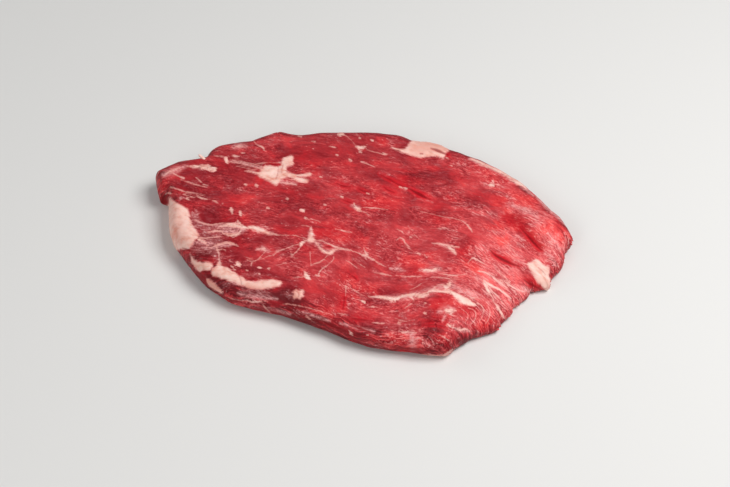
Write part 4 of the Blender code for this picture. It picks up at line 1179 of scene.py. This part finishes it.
class Marks:
    """Everything the photograph shows at each spot of the skin: fat, veins, splits, tones and the grain."""

    # How much of a side the rolled edge counts as, and how much painted shade darkens its lean.
    EDGE_SIDE = 0.7
    EDGE_PAINTED_SHADE = 0.35
    # The underside's part of the grain lies this far from the top's.
    UNDER_GRAIN = 3.0

    def __init__(self, spots, unrolled, grain, edge, hidden):
        seen = on_photo(spots)
        self.seen = seen
        self.side = np.maximum(self.EDGE_SIDE * edge, soft_strokes(seen, [NEAR_SIDE]))
        self.pad = pad_depth(seen, FAT_PADS.values())
        right, fall = DOT_STRETCH
        dots = [[(x - right, y - fall, half), (x + right, y + fall, half)] for x, y, half in FAT_DOTS]
        lines = [*FAT_STREAKS.values(), *VEINS, *dots]
        self.line = NearestStroke(seen, [(stroke, 0.0) for stroke in lines])
        self.split = NearestStroke(seen, SPLITS_WITH_PAINTED_SHADE.values())
        self.hollow = NearestStroke(seen, HOLLOWS.values())
        self.silver = soft_patches(seen, SILVERSKIN)
        # The tones hold painted light and shade, and the rolled edge gets painted shade on top.
        self.tone = soft_patches(seen, LEAN_TONES_AND_PAINTED_SHADING) - self.EDGE_PAINTED_SHADE * edge**2
        self.clear = soft_patches(seen, CLEAR_LEAN)
        self.film_and_painted_light = soft_strokes(seen, FILMS_AND_PAINTED_HIGHLIGHTS.values())
        self.grain = grain.at(unrolled)
        self.hidden = hidden
        for values in (self.silver, self.tone, self.clear, self.film_and_painted_light):
            values[hidden] = 0.0
        self.pad[hidden] = -REACH
        for stroke in (self.line, self.split, self.hollow):
            stroke.far[hidden] = REACH
            stroke.way[hidden] = (REACH, 0.0)
            stroke.width[hidden] = 0.0

    def write_on(self, mesh):
        """Stores the marks on the mesh for its material."""
        numbers = {
            "fat_depth": self.pad,
            "line_distance": self.line.far,
            "split_distance": self.split.far,
            "silverskin": self.silver,
            "lean_tone_and_painted_shading": self.tone,
            "clear_lean": self.clear,
            "film_and_painted_light": self.film_and_painted_light,
            "side": self.side,
        }
        vectors = {
            "line_way": np.column_stack([self.line.way, self.line.width]),
            "split_way": np.column_stack([self.split.way, self.split.width]),
            "grain": np.column_stack([self.grain, self.hidden * self.UNDER_GRAIN]),
        }
        store(mesh, numbers, vectors)


def store(mesh, numbers, vectors):
    """Writes values on the corners of a mesh, where the material reads them."""
    for name, values in numbers.items():
        mesh.attributes.new(name, "FLOAT", "POINT").data.foreach_set("value", values.astype(np.float32))
    for name, values in vectors.items():
        data = mesh.attributes.new(name, "FLOAT_VECTOR", "POINT").data
        data.foreach_set("vector", values.astype(np.float32).ravel())


def fat_relief(marks):
    """Fat stands proud of the lean, with lumps."""
    across, down = marks.seen.T
    lumps = soft_noise(across / 5.0, down / 3.6, SEED + 1)
    lumps = lumps + 0.5 * soft_noise(across / 2.3, down / 2.0, SEED + 2)
    folds = abs(soft_noise((across + down) / 6.5, (down - 0.4 * across) / 2.6, SEED + 8))
    pads = smooth_step(marks.pad, -0.8, 2.2) * (FAT_RISE + FAT_LUMPS * lumps + FAT_FOLDS * folds)
    width = marks.line.width
    line = width * np.exp(-((marks.line.far / (width + 0.6)) ** 2))
    return np.maximum(pads, np.minimum(line, 3.0) * LINE_RISE)


def split_relief(marks):
    """Splits cut in, between lips that stand up a little."""
    width = marks.split.width
    cut = np.exp(-((marks.split.far / (0.8 * width + 0.6)) ** 2))
    lips = np.exp(-(((marks.split.far - 2.0 * width - 1.8) / 1.6) ** 2)) * (width > 0.0)
    hollow = np.exp(-((marks.hollow.far / (marks.hollow.width + 0.1)) ** 2))
    return marks.split.depth * (0.25 * lips - 0.5 * cut) - marks.hollow.depth * hollow


def grain_relief(marks):
    """Bundles of fibre and slow swells, weaker under fat."""
    along, across = marks.grain.T
    bend = 0.0030 * soft_noise(along / 0.018, across / 0.009, SEED + 3)
    coarse = 1.0 - abs(soft_noise((across + bend) / 0.0052, along / 0.024, SEED + 4)) * 2.0
    fine = soft_noise((across + bend) / 0.0024, along / 0.011, SEED + 5)
    lumps = soft_noise(along / 0.014, (across + bend) / 0.0085, SEED + 6)
    swell = soft_noise(along / 0.031, across / 0.021, SEED + 7)
    lean = 1.0 - 0.7 * smooth_step(marks.pad, -1.0, 1.5)
    ridged = 0.6 + 0.6 * smooth_step(marks.seen[:, 0], 400.0, 500.0)
    bundles = ridged * COARSE_GRAIN * coarse + FINE_GRAIN * fine + GRAIN_LUMPS * lumps
    return lean * bundles + SLOW_SWELL * swell


def put_in_scene(name, data):
    """A new object in the scene."""
    piece = bpy.data.objects.new(name, data)
    bpy.context.scene.collection.objects.link(piece)
    return piece


def make_mesh(name, spots, triangles):
    """A smooth-shaded object from corners and triangles."""
    mesh = bpy.data.meshes.new(name)
    mesh.from_pydata(spots.tolist(), [], triangles.tolist())
    mesh.polygons.foreach_set("use_smooth", np.ones(len(triangles), bool))
    mesh.update()
    return put_in_scene(name, mesh)


def corner_normals(mesh):
    """The normals at the corners of a mesh."""
    values = np.zeros(len(mesh.vertices) * 3, np.float32)
    mesh.vertices.foreach_get("normal", values)
    return values.reshape(-1, 3).astype(float)


def store_places(mesh, places):
    """Writes where the corners of each triangle lie in the baked picture."""
    layer = mesh.uv_layers.new(name="OFBake")
    layer.data.foreach_set("uv", places.astype(np.float32).ravel())


def lay_out_picture(mesh, unrolled, plan, triangles, sheet):
    """Two islands for the baked picture: the top with its edge, and the underside's sheet above it."""
    corners = triangles.ravel()
    below = np.repeat(sheet, 3)
    mirrored = plan[corners] * np.array([-UNDERSIDE_SCALE, UNDERSIDE_SCALE])
    places = np.where(below[:, None], mirrored, unrolled[corners])
    places[~below] -= places[~below].min(axis=0)
    places[below] -= places[below].min(axis=0)
    places[below, 1] += places[~below, 1].max() + ISLAND_GAP
    store_places(mesh, (places + ISLAND_GAP) / (places.max() + 2.0 * ISLAND_GAP))


def build_flesh():
    """The whole steak's visible surface."""
    solid = Solid()
    skin = Skin(solid)
    spots = np.vstack(skin.spots)
    unrolled = np.vstack(skin.unrolled)
    triangles = skin.triangles()
    hidden = np.arange(len(spots)) >= skin.under_start
    marks = Marks(spots, unrolled, Grain(), skin.edge_share(len(spots)), hidden)
    piece = make_mesh("steak_flesh", spots, triangles)
    rise = fat_relief(marks) + split_relief(marks) + grain_relief(marks)
    rise[hidden] = 0.0
    rise *= smooth_step(spots[:, 2], 0.0, TABLE_FADE)
    moved = spots + corner_normals(piece.data) * rise[:, None]
    moved = np.clip(moved, cad_low, cad_high)
    piece.data.vertices.foreach_set("co", moved.astype(np.float32).ravel())
    piece.data.update()
    marks.write_on(piece.data)
    sheet = np.arange(len(triangles)) >= len(triangles) - len(skin.threes)
    lay_out_picture(piece.data, unrolled, spots[:, :2], triangles, sheet)
    return piece, skin


# The torn fibres

class Strands:
    """Short tapered strands, gathered into one mesh with their marks."""

    SIDES = 6
    STEPS = (0.0, 0.25, 0.5, 0.75, 0.93, 1.0)
    # The share of a strand's width that is left at its tip.
    TIP_WIDTH = 0.02
    # The baked picture holds a square of this many cells a side, with one strand and a margin in each.
    CELLS = 8
    CELL_MARGIN = 0.05
    # Where the grain of the first strand starts, and how far along and across that of the next one is.
    GRAIN_START = 0.13
    GRAIN_ALONG = 0.01
    GRAIN_ACROSS = 0.004
    GRAIN_AROUND = 0.0006
    GRAIN_DEEP = 1.0
    # How far inside the steak's box the strands stay.
    BOX_GAP = 0.0001

    def __init__(self):
        self.count = 0
        self.spots = []
        self.triangles = []
        self.places = []
        self.grain = []
        self.tone = []
        self.fat = []

    def add(self, root, way, half_width, half_depth, droop, blunt, tone, fat):
        """A strand from its root along a way, thinning to a point; a high bluntness keeps it thick."""
        across = np.cross(way, (0.0, 0.0, 1.0))
        across /= np.linalg.norm(across)
        upright = np.cross(across, way)
        upright /= np.linalg.norm(upright)
        length = np.linalg.norm(way)
        first = len(self.spots)
        for step in self.STEPS:
            middle = root + way * step - np.array([0.0, 0.0, droop * length * step * step])
            share = max(1.0 - step**blunt, self.TIP_WIDTH)
            along = self.GRAIN_START + self.GRAIN_ALONG * self.count + step * length
            for side in range(self.SIDES):
                turn = 2.0 * math.pi * side / self.SIDES
                offset = across * half_width * math.cos(turn) + upright * half_depth * math.sin(turn)
                self.spots.append(middle + offset * share)
                around = self.GRAIN_ACROSS * self.count + self.GRAIN_AROUND * side
                self.grain.append((along, around, self.GRAIN_DEEP))
                self.tone.append(tone)
                self.fat.append(fat)
        corner = np.array([self.count % self.CELLS, self.count // self.CELLS])
        rings = len(self.STEPS)
        for ring in range(rings - 1):
            for side in range(self.SIDES):
                square = [(ring, side), (ring + 1, side), (ring + 1, side + 1), (ring, side + 1)]
                for three in (square[:3], [square[0], square[2], square[3]]):
                    numbers = [first + here * self.SIDES + around % self.SIDES for here, around in three]
                    self.triangles.append(numbers)
                    shares = np.array([(here / (rings - 1), around / self.SIDES) for here, around in three])
                    inside = self.CELL_MARGIN + (1.0 - 2.0 * self.CELL_MARGIN) * shares
                    self.places.append((corner + inside) / self.CELLS)
        self.count += 1

    def build(self, name):
        """The mesh of all the strands, kept inside the steak's box."""
        low = np.array(cad_low) + self.BOX_GAP
        high = np.array(cad_high) - self.BOX_GAP
        spots = np.clip(np.array(self.spots), low, high)
        piece = make_mesh(name, spots, np.array(self.triangles))
        store_places(piece.data, np.concatenate(self.places))
        nothing = np.zeros(len(spots))
        away = np.full(len(spots), REACH)
        no_way = np.column_stack([away, nothing, nothing])
        numbers = {
            "fat_depth": np.array(self.fat),
            "lean_tone_and_painted_shading": np.array(self.tone),
            **dict.fromkeys(("line_distance", "split_distance"), away),
            **dict.fromkeys(("silverskin", "clear_lean", "film_and_painted_light", "side"), nothing),
        }
        vectors = {
            "grain": np.array(self.grain),
            **dict.fromkeys(("line_way", "split_way"), no_way),
        }
        store(piece.data, numbers, vectors)
        return piece


def add_scrap_of_fat(strands, top):
    """A blunt strand of fat that stands on the spot of the top seen at its foot, and leans to its tip."""
    right, up, _ = camera_axes()
    foot = top[np.hypot(*(on_photo(top) - SCRAP_FOOT).T).argmin()]
    across, down = SCRAP_TIP - SCRAP_FOOT
    way = (right * across - up * down) * PIXEL
    strands.add(
        foot - 0.2 * way,
        1.15 * way,
        half_width=0.0013,
        half_depth=0.0013,
        droop=0.0,
        blunt=12.0,
        tone=0.0,
        fat=5.0,
    )


def build_torn_fibres(skin):
    """Fibre ends that stand out from the ragged thin end, and the scrap of fat on the far edge."""
    draw = np.random.default_rng(SEED + 20)
    rim = skin.spots[0][skin.rim_numbers]
    seen = on_photo(rim)
    torn = np.flatnonzero((seen[:, 0] > TORN_END[0]) & (seen[:, 1] > TORN_END[1]))
    strands = Strands()
    for index in draw.choice(torn, TORN_FIBRES, replace=False):
        inward = skin.rim.inward[index]
        outward = math.atan2(-inward[1], -inward[0]) + draw.uniform(-0.9, 0.9)
        length = draw.uniform(0.0014, 0.0036)
        way = length * np.array([math.cos(outward), math.sin(outward), draw.uniform(-0.5, 0.15)])
        root = rim[index] - 0.6 * way + np.array([0.0, 0.0, draw.uniform(-0.0015, 0.0008)])
        strands.add(
            root,
            way,
            half_width=draw.uniform(0.0007, 0.0020),
            half_depth=draw.uniform(0.0003, 0.0006),
            droop=draw.uniform(0.1, 0.4),
            blunt=draw.uniform(1.2, 2.6),
            tone=draw.uniform(-0.1, 0.5),
            fat=-REACH,
        )
    add_scrap_of_fat(strands, skin.spots[0])
    return strands.build("torn_fibres")


# The material

class Wiring:
    """Adds nodes to a shader tree, and joins them with values or with each other."""

    def __init__(self, tree):
        self.tree = tree

    def node(self, kind, **settings):
        """A new node with its settings."""
        node = self.tree.nodes.new(kind)
        for name, value in settings.items():
            setattr(node, name, value)
        return node

    def feed(self, socket, value):
        """Gives a socket a plain value, or joins it with another node's output."""
        if isinstance(value, bpy.types.NodeSocket):
            self.tree.links.new(value, socket)
        else:
            socket.default_value = value

    def feed_all(self, sockets, values):
        """Feeds the named sockets."""
        for name, value in values.items():
            self.feed(sockets[name], value)

    def math(self, operation, *values, clamp=False):
        """One step of arithmetic on its values."""
        node = self.node("ShaderNodeMath", operation=operation, use_clamp=clamp)
        for socket, value in zip(node.inputs, values):
            self.feed(socket, value)
        return node.outputs[0]

    def times(self, first, second, clamp=False):
        """Two values multiplied."""
        return self.math("MULTIPLY", first, second, clamp=clamp)

    def weighed(self, start, *pairs):
        """A plain number, and after it the sum of the values times their weights."""
        total = start
        for value, weight in pairs:
            total = self.math("MULTIPLY_ADD", value, weight, total)
        return total

    def step(self, value, low, high, start=0.0, end=1.0):
        """A smooth rise or fall from start to end, while the value goes from low to high."""
        node = self.node("ShaderNodeMapRange", interpolation_type="SMOOTHSTEP")
        for socket, part in zip(node.inputs, (value, low, high, start, end)):
            self.feed(socket, part)
        return node.outputs[0]

    def stretch(self, vector, across, up, deep=1.0):
        """A vector with each of its parts multiplied."""
        node = self.node("ShaderNodeVectorMath", operation="MULTIPLY")
        self.feed(node.inputs[0], vector)
        node.inputs[1].default_value = (across, up, deep)
        return node.outputs[0]

    def noise(self, vector, detail=2.0, rough=0.5, warp=0.0):
        """Smooth noise from 0 to 1, with features about one unit wide."""
        node = self.node("ShaderNodeTexNoise")
        values = {"Vector": vector, "Scale": 1.0, "Detail": detail, "Roughness": rough, "Distortion": warp}
        self.feed_all(node.inputs, values)
        return node.outputs["Fac"]

    def mix(self, amount, first, second):
        """Goes from the first colour to the second as the amount rises."""
        node = self.node("ShaderNodeMix", data_type="RGBA")
        for number, value in ((0, amount), (6, first), (7, second)):
            self.feed(node.inputs[number], value)
        return node.outputs[2]

    def ramp(self, value, stops):
        """A colour ramp through the stops."""
        node = self.node("ShaderNodeValToRGB")
        points = node.color_ramp.elements
        points[0].position, points[0].color = stops[0]
        points[1].position, points[1].color = stops[-1]
        for position, tint in stops[1:-1]:
            points.new(position).color = tint
        self.feed(node.inputs[0], value)
        return node.outputs[0]

    def mark(self, name, output="Fac"):
        """A mark that is stored on the mesh."""
        node = self.node("ShaderNodeAttribute", attribute_name=name)
        return node.outputs[output]

    def group(self, tree, **values):
        """A node group with its named inputs fed, and its outputs."""
        node = self.node("ShaderNodeGroup", node_tree=tree)
        self.feed_all(node.inputs, values)
        return node.outputs


def new_group(name, inputs, outputs):
    """An empty node group with named sockets, and its wiring, inputs and outputs."""
    tree = bpy.data.node_groups.new(name, "ShaderNodeTree")
    for way, sockets in (("INPUT", inputs), ("OUTPUT", outputs)):
        for label, kind in sockets:
            tree.interface.new_socket(label, in_out=way, socket_type=kind)
    wiring = Wiring(tree)
    entry = wiring.node("NodeGroupInput").outputs
    leaving = wiring.node("NodeGroupOutput").inputs
    return tree, wiring, entry, leaving


NUMBER = "NodeSocketFloat"
VECTOR = "NodeSocketVector"


def line_group():
    """How far inside a drawn line a spot is, in the photograph's pixels."""
    tree, wiring, entry, leaving = new_group(
        "inside a drawn line",
        [("Way", VECTOR), ("Distance", NUMBER)],
        [("Inside", NUMBER), ("Width", NUMBER)],
    )
    flat = wiring.stretch(entry["Way"], 1.0, 1.0, 0.0)
    length = wiring.node("ShaderNodeVectorMath", operation="LENGTH")
    wiring.feed(length.inputs[0], flat)
    parts = wiring.node("ShaderNodeSeparateXYZ")
    wiring.feed(parts.inputs[0], entry["Way"])
    far = wiring.math("MAXIMUM", length.outputs["Value"], wiring.math("SUBTRACT", entry["Distance"], 1.1))
    wiring.feed(leaving["Inside"], wiring.math("SUBTRACT", parts.outputs[2], far))
    wiring.feed(leaving["Width"], parts.outputs[2])
    return tree


# The muscle's masks that are plain noise: how often they repeat in a metre along, across and down through the
# grain, and the noise's detail, roughness and warp. The first two follow the straight grain, the others the
# swaying one.
STRAIGHT_MASKS = {
    "Blotches": ((42.0, 75.0, 5.0), (3.0, 0.6, 0.6)),
    "Mottle": ((130.0, 190.0, 5.0), (3.0, 0.5, 0.15)),
}
SWAYING_MASKS = {
    "Marbling": ((110.0, 330.0), (4.0, 0.6, 1.1)),
    "Fibres": ((210.0, 950.0), (3.0, 0.6, 0.5)),
    "Threads": ((420.0, 2600.0), (2.0, 0.6)),
    "Crumb": ((520.0, 780.0, 5.0), (3.0, 0.65, 0.7)),
    "Layers": ((48.0, 620.0), (3.0, 0.55, 0.4)),
}


def fibre_group():
    """The muscle's grain, from broad blotches to the finest threads, all from 0 to 1."""
    names = [*STRAIGHT_MASKS, *SWAYING_MASKS, "Coarse", "Flecks"]
    tree, wiring, entry, leaving = new_group(
        "muscle fibres",
        [("Grain", VECTOR)],
        [(name, NUMBER) for name in names],
    )
    straight = entry["Grain"]
    sway = wiring.noise(wiring.stretch(straight, 70.0, 110.0), 3.0)
    shift = wiring.node("ShaderNodeCombineXYZ")
    wiring.feed(shift.inputs[1], wiring.times(wiring.math("SUBTRACT", sway, 0.5), 0.0075))
    bent = wiring.node("ShaderNodeVectorMath", operation="ADD")
    wiring.feed(bent.inputs[0], straight)
    wiring.feed(bent.inputs[1], shift.outputs[0])
    swaying = bent.outputs[0]
    for place, masks in ((straight, STRAIGHT_MASKS), (swaying, SWAYING_MASKS)):
        for name, (stretches, settings) in masks.items():
            wiring.feed(leaving[name], wiring.noise(wiring.stretch(place, *stretches), *settings))
    areas = wiring.noise(wiring.stretch(straight, 26.0, 48.0, 3.0), 2.0, 0.5, 0.8)
    wiring.feed(leaving["Coarse"], wiring.step(areas, 0.42, 0.58, 0.25, 1.25))
    cells = wiring.node("ShaderNodeTexVoronoi")
    wiring.feed_all(cells.inputs, {"Scale": 1.0, "Vector": wiring.stretch(swaying, 230.0, 420.0)})
    wiring.feed(leaving["Flecks"], wiring.step(cells.outputs["Distance"], 0.10, 0.26, 1.0, 0.0))
    return tree


# The colours. Those that a mask goes through are stops: how high the mask is, and the colour there.
LEAN_STOPS = [
    (0.02, colour(108, 4, 16)),
    (0.28, colour(146, 25, 34)),
    (0.52, colour(184, 53, 58)),
    (0.76, colour(214, 84, 87)),
    (1.0, colour(238, 122, 122)),
]
CLEAR_STOPS = [
    (0.12, colour(130, 0, 14)),
    (0.50, colour(196, 22, 34)),
    (0.95, colour(242, 70, 66)),
]
DUSKY_LEAN = colour(150, 62, 70)
PALE_FIBRE_AND_GLINT_PINK = colour(242, 164, 159)
FILM_AND_PAINTED_LIGHT_PALE = colour(238, 170, 167)
SILVER_SPECK = colour(232, 192, 188)
SILVER_STOPS = [
    (0.38, colour(126, 24, 34)),
    (0.52, colour(184, 100, 100)),
    (0.64, SILVER_SPECK),
]
FAT_EDGE = colour(225, 130, 126)
FAT_PEACH_AND_SHADE = colour(224, 148, 130)
FAT_WHITE = colour(254, 222, 211)
FAT_STOPS = [
    (0.20, FAT_EDGE),
    (0.37, FAT_PEACH_AND_SHADE),
    (0.50, colour(243, 196, 182)),
    (0.68, FAT_WHITE),
]
# Painted shade inside the splits and creases.
SPLIT_PAINTED_SHADE = colour(142, 0, 14)
# Around the splits, the lean's own bright red, made brighter still as painted light against the groove's
# shade.
SPLIT_CRIMSON_AND_PAINTED_LIGHT = colour(212, 20, 36)


def lean_tint(wiring, fibres, tone, side, clear, coarse):
    """The red of the muscle, from nearly crimson to pink, with short pale strands and flecks that are partly
    painted glints on wet fibres.
    """
    blotches, marbling, crumb = fibres["Blotches"], fibres["Marbling"], fibres["Crumb"]
    broad = wiring.weighed(-0.65, (blotches, 0.85), (marbling, 0.45))
    fine = wiring.weighed(-0.83, (fibres["Fibres"], 0.72), (fibres["Threads"], 0.40), (crumb, 0.54))
    grainy = wiring.math("MULTIPLY_ADD", fine, coarse, broad)
    varied = wiring.times(grainy, wiring.step(tone, -0.6, 0.9, 0.80, 1.30))
    layers = wiring.times(wiring.math("SUBTRACT", fibres["Layers"], 0.56), side)
    # The lightness follows the tone, including its painted light and shade.
    lightness = wiring.weighed(0.50, (tone, 0.36), (varied, 1.1), (layers, 2.6), (clear, 0.05))
    lean = wiring.ramp(lightness, LEAN_STOPS)
    dusky = wiring.weighed(0.0, (blotches, -0.7), (marbling, 0.9), (crumb, 0.4))
    lean = wiring.mix(wiring.step(dusky, 0.30, 0.52, 0.0, 0.35), lean, DUSKY_LEAN)
    redness = wiring.weighed(-0.42, (blotches, 1.0), (clear, 0.42), (marbling, 0.25))
    clear_tint = wiring.ramp(lightness, CLEAR_STOPS)
    lean = wiring.mix(wiring.step(redness, 0.14, 0.52, 0.0, 0.80), lean, clear_tint)
    many = wiring.times(wiring.step(tone, -0.5, 0.8, 0.12, 0.68), coarse, clamp=True)
    strands = wiring.weighed(0.0, (fibres["Fibres"], 0.55), (marbling, 0.45), (tone, 0.03))
    crumbs = wiring.weighed(-0.10, (crumb, 0.9), (marbling, 0.3), (tone, 0.04), (side, 0.03))
    # Pale strands and crumbs, partly painted glints, thickest where the tone is high.
    for pale in (wiring.step(strands, 0.53, 0.66), wiring.step(crumbs, 0.60, 0.70)):
        lean = wiring.mix(wiring.times(pale, many), lean, PALE_FIBRE_AND_GLINT_PINK)
    flecks = wiring.times(fibres["Flecks"], wiring.step(marbling, 0.54, 0.64))
    return wiring.mix(wiring.times(flecks, 0.50), lean, PALE_FIBRE_AND_GLINT_PINK)


def under_films(wiring, fibres, lean):
    """The lean with the silverskin and the pale films over it, some of them painted highlights."""
    strands, crumb, marbling = fibres["Fibres"], fibres["Crumb"], fibres["Marbling"]
    silver = wiring.weighed(-0.90, (wiring.mark("silverskin"), 1.1), (marbling, 1.0), (crumb, 0.6))
    grain = wiring.weighed(0.0, (crumb, 0.35), (strands, 0.40), (marbling, 0.25))
    tint = wiring.ramp(grain, SILVER_STOPS)
    lean = wiring.mix(wiring.step(silver, 0.10, 1.05, 0.0, 0.85), lean, tint)
    broken = wiring.step(wiring.weighed(0.0, (strands, 0.55), (crumb, 0.45)), 0.42, 0.58, 0.25, 1.0)
    film_and_painted_light = wiring.times(wiring.mark("film_and_painted_light"), broken)
    return wiring.mix(wiring.times(film_and_painted_light, 0.8), lean, FILM_AND_PAINTED_LIGHT_PALE)


def with_splits(wiring, fibres, split, side, lean):
    """The lean with a bright red around each split, partly painted light, and painted shade inside it, and
    where that shade is.
    """
    inside, width = split["Inside"], split["Width"]
    # The bright red around each split, partly painted light.
    glow = wiring.step(inside, -4.0, -0.5, 0.0, wiring.step(width, 0.0, 1.0, 0.3, 0.9))
    glow = wiring.times(glow, wiring.step(side, 0.1, 0.6, 1.0, 0.2))
    lean = wiring.mix(glow, lean, SPLIT_CRIMSON_AND_PAINTED_LIGHT)
    uneven = wiring.math("MULTIPLY_ADD", wiring.math("SUBTRACT", fibres["Fibres"], 0.5), 1.8, inside)
    crease_shade = wiring.times(wiring.step(uneven, -1.1, 0.6), wiring.step(width, 0.0, 1.2, 0.5, 1.0))
    return wiring.mix(crease_shade, lean, SPLIT_PAINTED_SHADE), crease_shade


def fat_masks(wiring, fibres, line, crease_shade):
    """Where fat lies, from 0 to 1, and how deep inside its edge a spot is."""
    crumb, marbling = fibres["Crumb"], fibres["Marbling"]
    ragged = wiring.weighed(-2.9, (fibres["Fibres"], 1.6), (crumb, 1.2), (marbling, 3.0))
    pad = wiring.math("MULTIPLY_ADD", ragged, 1.3, wiring.mark("fat_depth"))
    raggedness = wiring.math("MULTIPLY_ADD", line["Width"], 0.75, 0.25)
    thin = wiring.math("MULTIPLY_ADD", ragged, raggedness, line["Inside"])
    beads = wiring.step(wiring.weighed(0.0, (crumb, 0.5), (marbling, 0.5)), 0.42, 0.56, 0.62, 1.08)
    strength = wiring.math("MULTIPLY_ADD", line["Width"], 0.40, 0.34, clamp=True)
    strength = wiring.times(strength, beads, clamp=True)
    lines = wiring.times(wiring.step(thin, -0.55, 0.60), strength)
    fat = wiring.math("MAXIMUM", lines, wiring.step(pad, -1.3, 1.1))
    # The painted shade in the creases darkens the fat too.
    fat = wiring.times(fat, wiring.math("MULTIPLY_ADD", crease_shade, -0.8, 1.0))
    return fat, wiring.math("MAXIMUM", pad, wiring.times(line["Inside"], 1.3))


def fat_tint(wiring, fibres, tone, depth):
    """The colour of the fat, from peach to nearly white, redder at its edge and duller on silverskin; it
    turns peach where the tone is low and white where it is high, so painted shade and painted light reach the
    fat.
    """
    parts = ((fibres["Blotches"], 0.25), (fibres["Mottle"], 0.50), (fibres["Marbling"], 0.25))
    tint = wiring.ramp(wiring.weighed(0.0, *parts), FAT_STOPS)
    tint = wiring.mix(wiring.step(wiring.mark("silverskin"), 0.2, 1.0, 0.0, 0.55), tint, SILVER_SPECK)
    # The peach here is partly painted shade, and the white partly painted light, both from the tone.
    tint = wiring.mix(wiring.step(tone, -1.4, -0.2, 0.75, 0.0), tint, FAT_PEACH_AND_SHADE)
    tint = wiring.mix(wiring.step(tone, 0.1, 0.9, 0.0, 0.55), tint, FAT_WHITE)
    return wiring.mix(wiring.step(depth, -0.3, 2.2, 0.65, 0.0), tint, FAT_EDGE)


def fine_bump(wiring, fibres, coarse, fat):
    """The finest unevenness: threads and crumbs on the lean, and a soft mottle over everything."""
    threads = wiring.weighed(0.0, (fibres["Fibres"], 0.5), (fibres["Threads"], 0.25), (fibres["Crumb"], 0.35))
    bare = wiring.math("SUBTRACT", 1.0, fat)
    soft = wiring.weighed(0.0, (fibres["Marbling"], 0.6), (fat, 0.25), (fibres["Mottle"], 0.6))
    height = wiring.math("MULTIPLY_ADD", threads, wiring.times(coarse, bare), soft)
    bump = wiring.node("ShaderNodeBump")
    wiring.feed_all(bump.inputs, {"Strength": 0.6, "Distance": 0.0010, "Height": height})
    return bump.outputs[0]


def raw_beef():
    """Moist raw beef: lean that varies with its grain, silverskin, fat, and splits with painted shade in
    them.
    """
    material = bpy.data.materials.new("raw beef")
    material.use_nodes = True
    material.node_tree.nodes.clear()
    wiring = Wiring(material.node_tree)
    fibres = wiring.group(fibre_group(), Grain=wiring.mark("grain", "Vector"))
    lines = line_group()
    line = wiring.group(lines, Way=wiring.mark("line_way", "Vector"), Distance=wiring.mark("line_distance"))
    way = wiring.mark("split_way", "Vector")
    split = wiring.group(lines, Way=way, Distance=wiring.mark("split_distance"))
    # The tone holds painted light and shade as well as the lean's own tone.
    tone, side, clear = (wiring.mark(name) for name in ("lean_tone_and_painted_shading", "side", "clear_lean"))
    coarse = wiring.math("MAXIMUM", fibres["Coarse"], wiring.step(tone, 0.0, 0.9, 0.3, 0.95))
    coarse = wiring.times(coarse, wiring.step(clear, 0.2, 1.2, 1.0, 0.5))
    lean = lean_tint(wiring, fibres, tone, side, clear, coarse)
    lean = under_films(wiring, fibres, lean)
    lean, crease_shade = with_splits(wiring, fibres, split, side, lean)
    fat, depth = fat_masks(wiring, fibres, line, crease_shade)
    moist = wiring.weighed(0.0, (fibres["Crumb"], 0.6), (fibres["Marbling"], 0.4))
    rough = wiring.weighed(0.34, (fibres["Fibres"], 0.26), (fat, 0.05), (side, 0.16), (clear, -0.05))
    shader = wiring.node("ShaderNodeBsdfPrincipled")
    wiring.feed_all(shader.inputs, {
        "Base Color": wiring.mix(fat, lean, fat_tint(wiring, fibres, tone, depth)),
        "Roughness": rough,
        "Coat Weight": wiring.step(moist, 0.52, 0.62, 0.0, 0.45),
        "Coat Roughness": 0.22,
        "Specular IOR Level": 0.22,
        "Subsurface Weight": 0.12,
        "Subsurface Radius": (1.0, 0.32, 0.24),
        "Subsurface Scale": 0.003,
        "Normal": fine_bump(wiring, fibres, coarse, fat),
    })
    leave = wiring.node("ShaderNodeOutputMaterial")
    wiring.feed(leave.inputs["Surface"], shader.outputs[0])
    return material


# The studio

def plain_floor():
    """A plain pale floor."""
    bpy.ops.mesh.primitive_plane_add(size=8.0)
    floor = bpy.context.object
    floor.name = "floor"
    material = bpy.data.materials.new("pale floor")
    material.use_nodes = True
    shader = material.node_tree.nodes["Principled BSDF"]
    shader.inputs["Base Color"].default_value = (0.72, 0.71, 0.69, 1.0)
    shader.inputs["Roughness"].default_value = 0.7
    floor.data.materials.append(material)


def soft_light(name, place, size, power):
    """A square light of one size, aimed at the steak."""
    lamp = bpy.data.lights.new(name, "AREA")
    lamp.size = size
    lamp.energy = power
    holder = put_in_scene(name, lamp)
    holder.location = place
    holder.rotation_euler = (-Vector(place)).to_track_quat("-Z", "Y").to_euler()


def light_and_camera():
    """Soft studio light from above, from the left and from in front, and the photograph's view."""
    soft_light("light above", (0.75, 0.20, 1.25), 0.8, 19.9)
    soft_light("light at the side", (-1.20, 0.10, 0.80), 0.7, 2.6)
    soft_light("light in front", (-0.30, -1.30, 0.90), 0.8, 6.5)
    world = bpy.data.worlds.new("studio")
    world.use_nodes = True
    background = world.node_tree.nodes["Background"]
    background.inputs[0].default_value = (0.95, 0.97, 1.0, 1.0)
    background.inputs[1].default_value = 0.18
    bpy.context.scene.world = world
    camera = bpy.data.cameras.new("camera")
    camera.lens = LENS_MM
    camera.sensor_width = SENSOR_MM
    holder = put_in_scene("camera", camera)
    back = Vector(camera_axes()[2])
    holder.location = CAMERA_TARGET + back * CAMERA_DISTANCE
    holder.rotation_euler = back.to_track_quat("Z", "Y").to_euler()
    bpy.context.scene.camera = holder
    bpy.context.scene.view_settings.view_transform = "Standard"


# The steak is put together

flesh, flesh_skin = build_flesh()
fibres_at_the_end = build_torn_fibres(flesh_skin)
beef = raw_beef()
for piece_of_steak in (flesh, fibres_at_the_end):
    piece_of_steak.data.materials.append(beef)
    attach(piece_of_steak, "root")
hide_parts("flank_steak")
plain_floor()
light_and_camera()
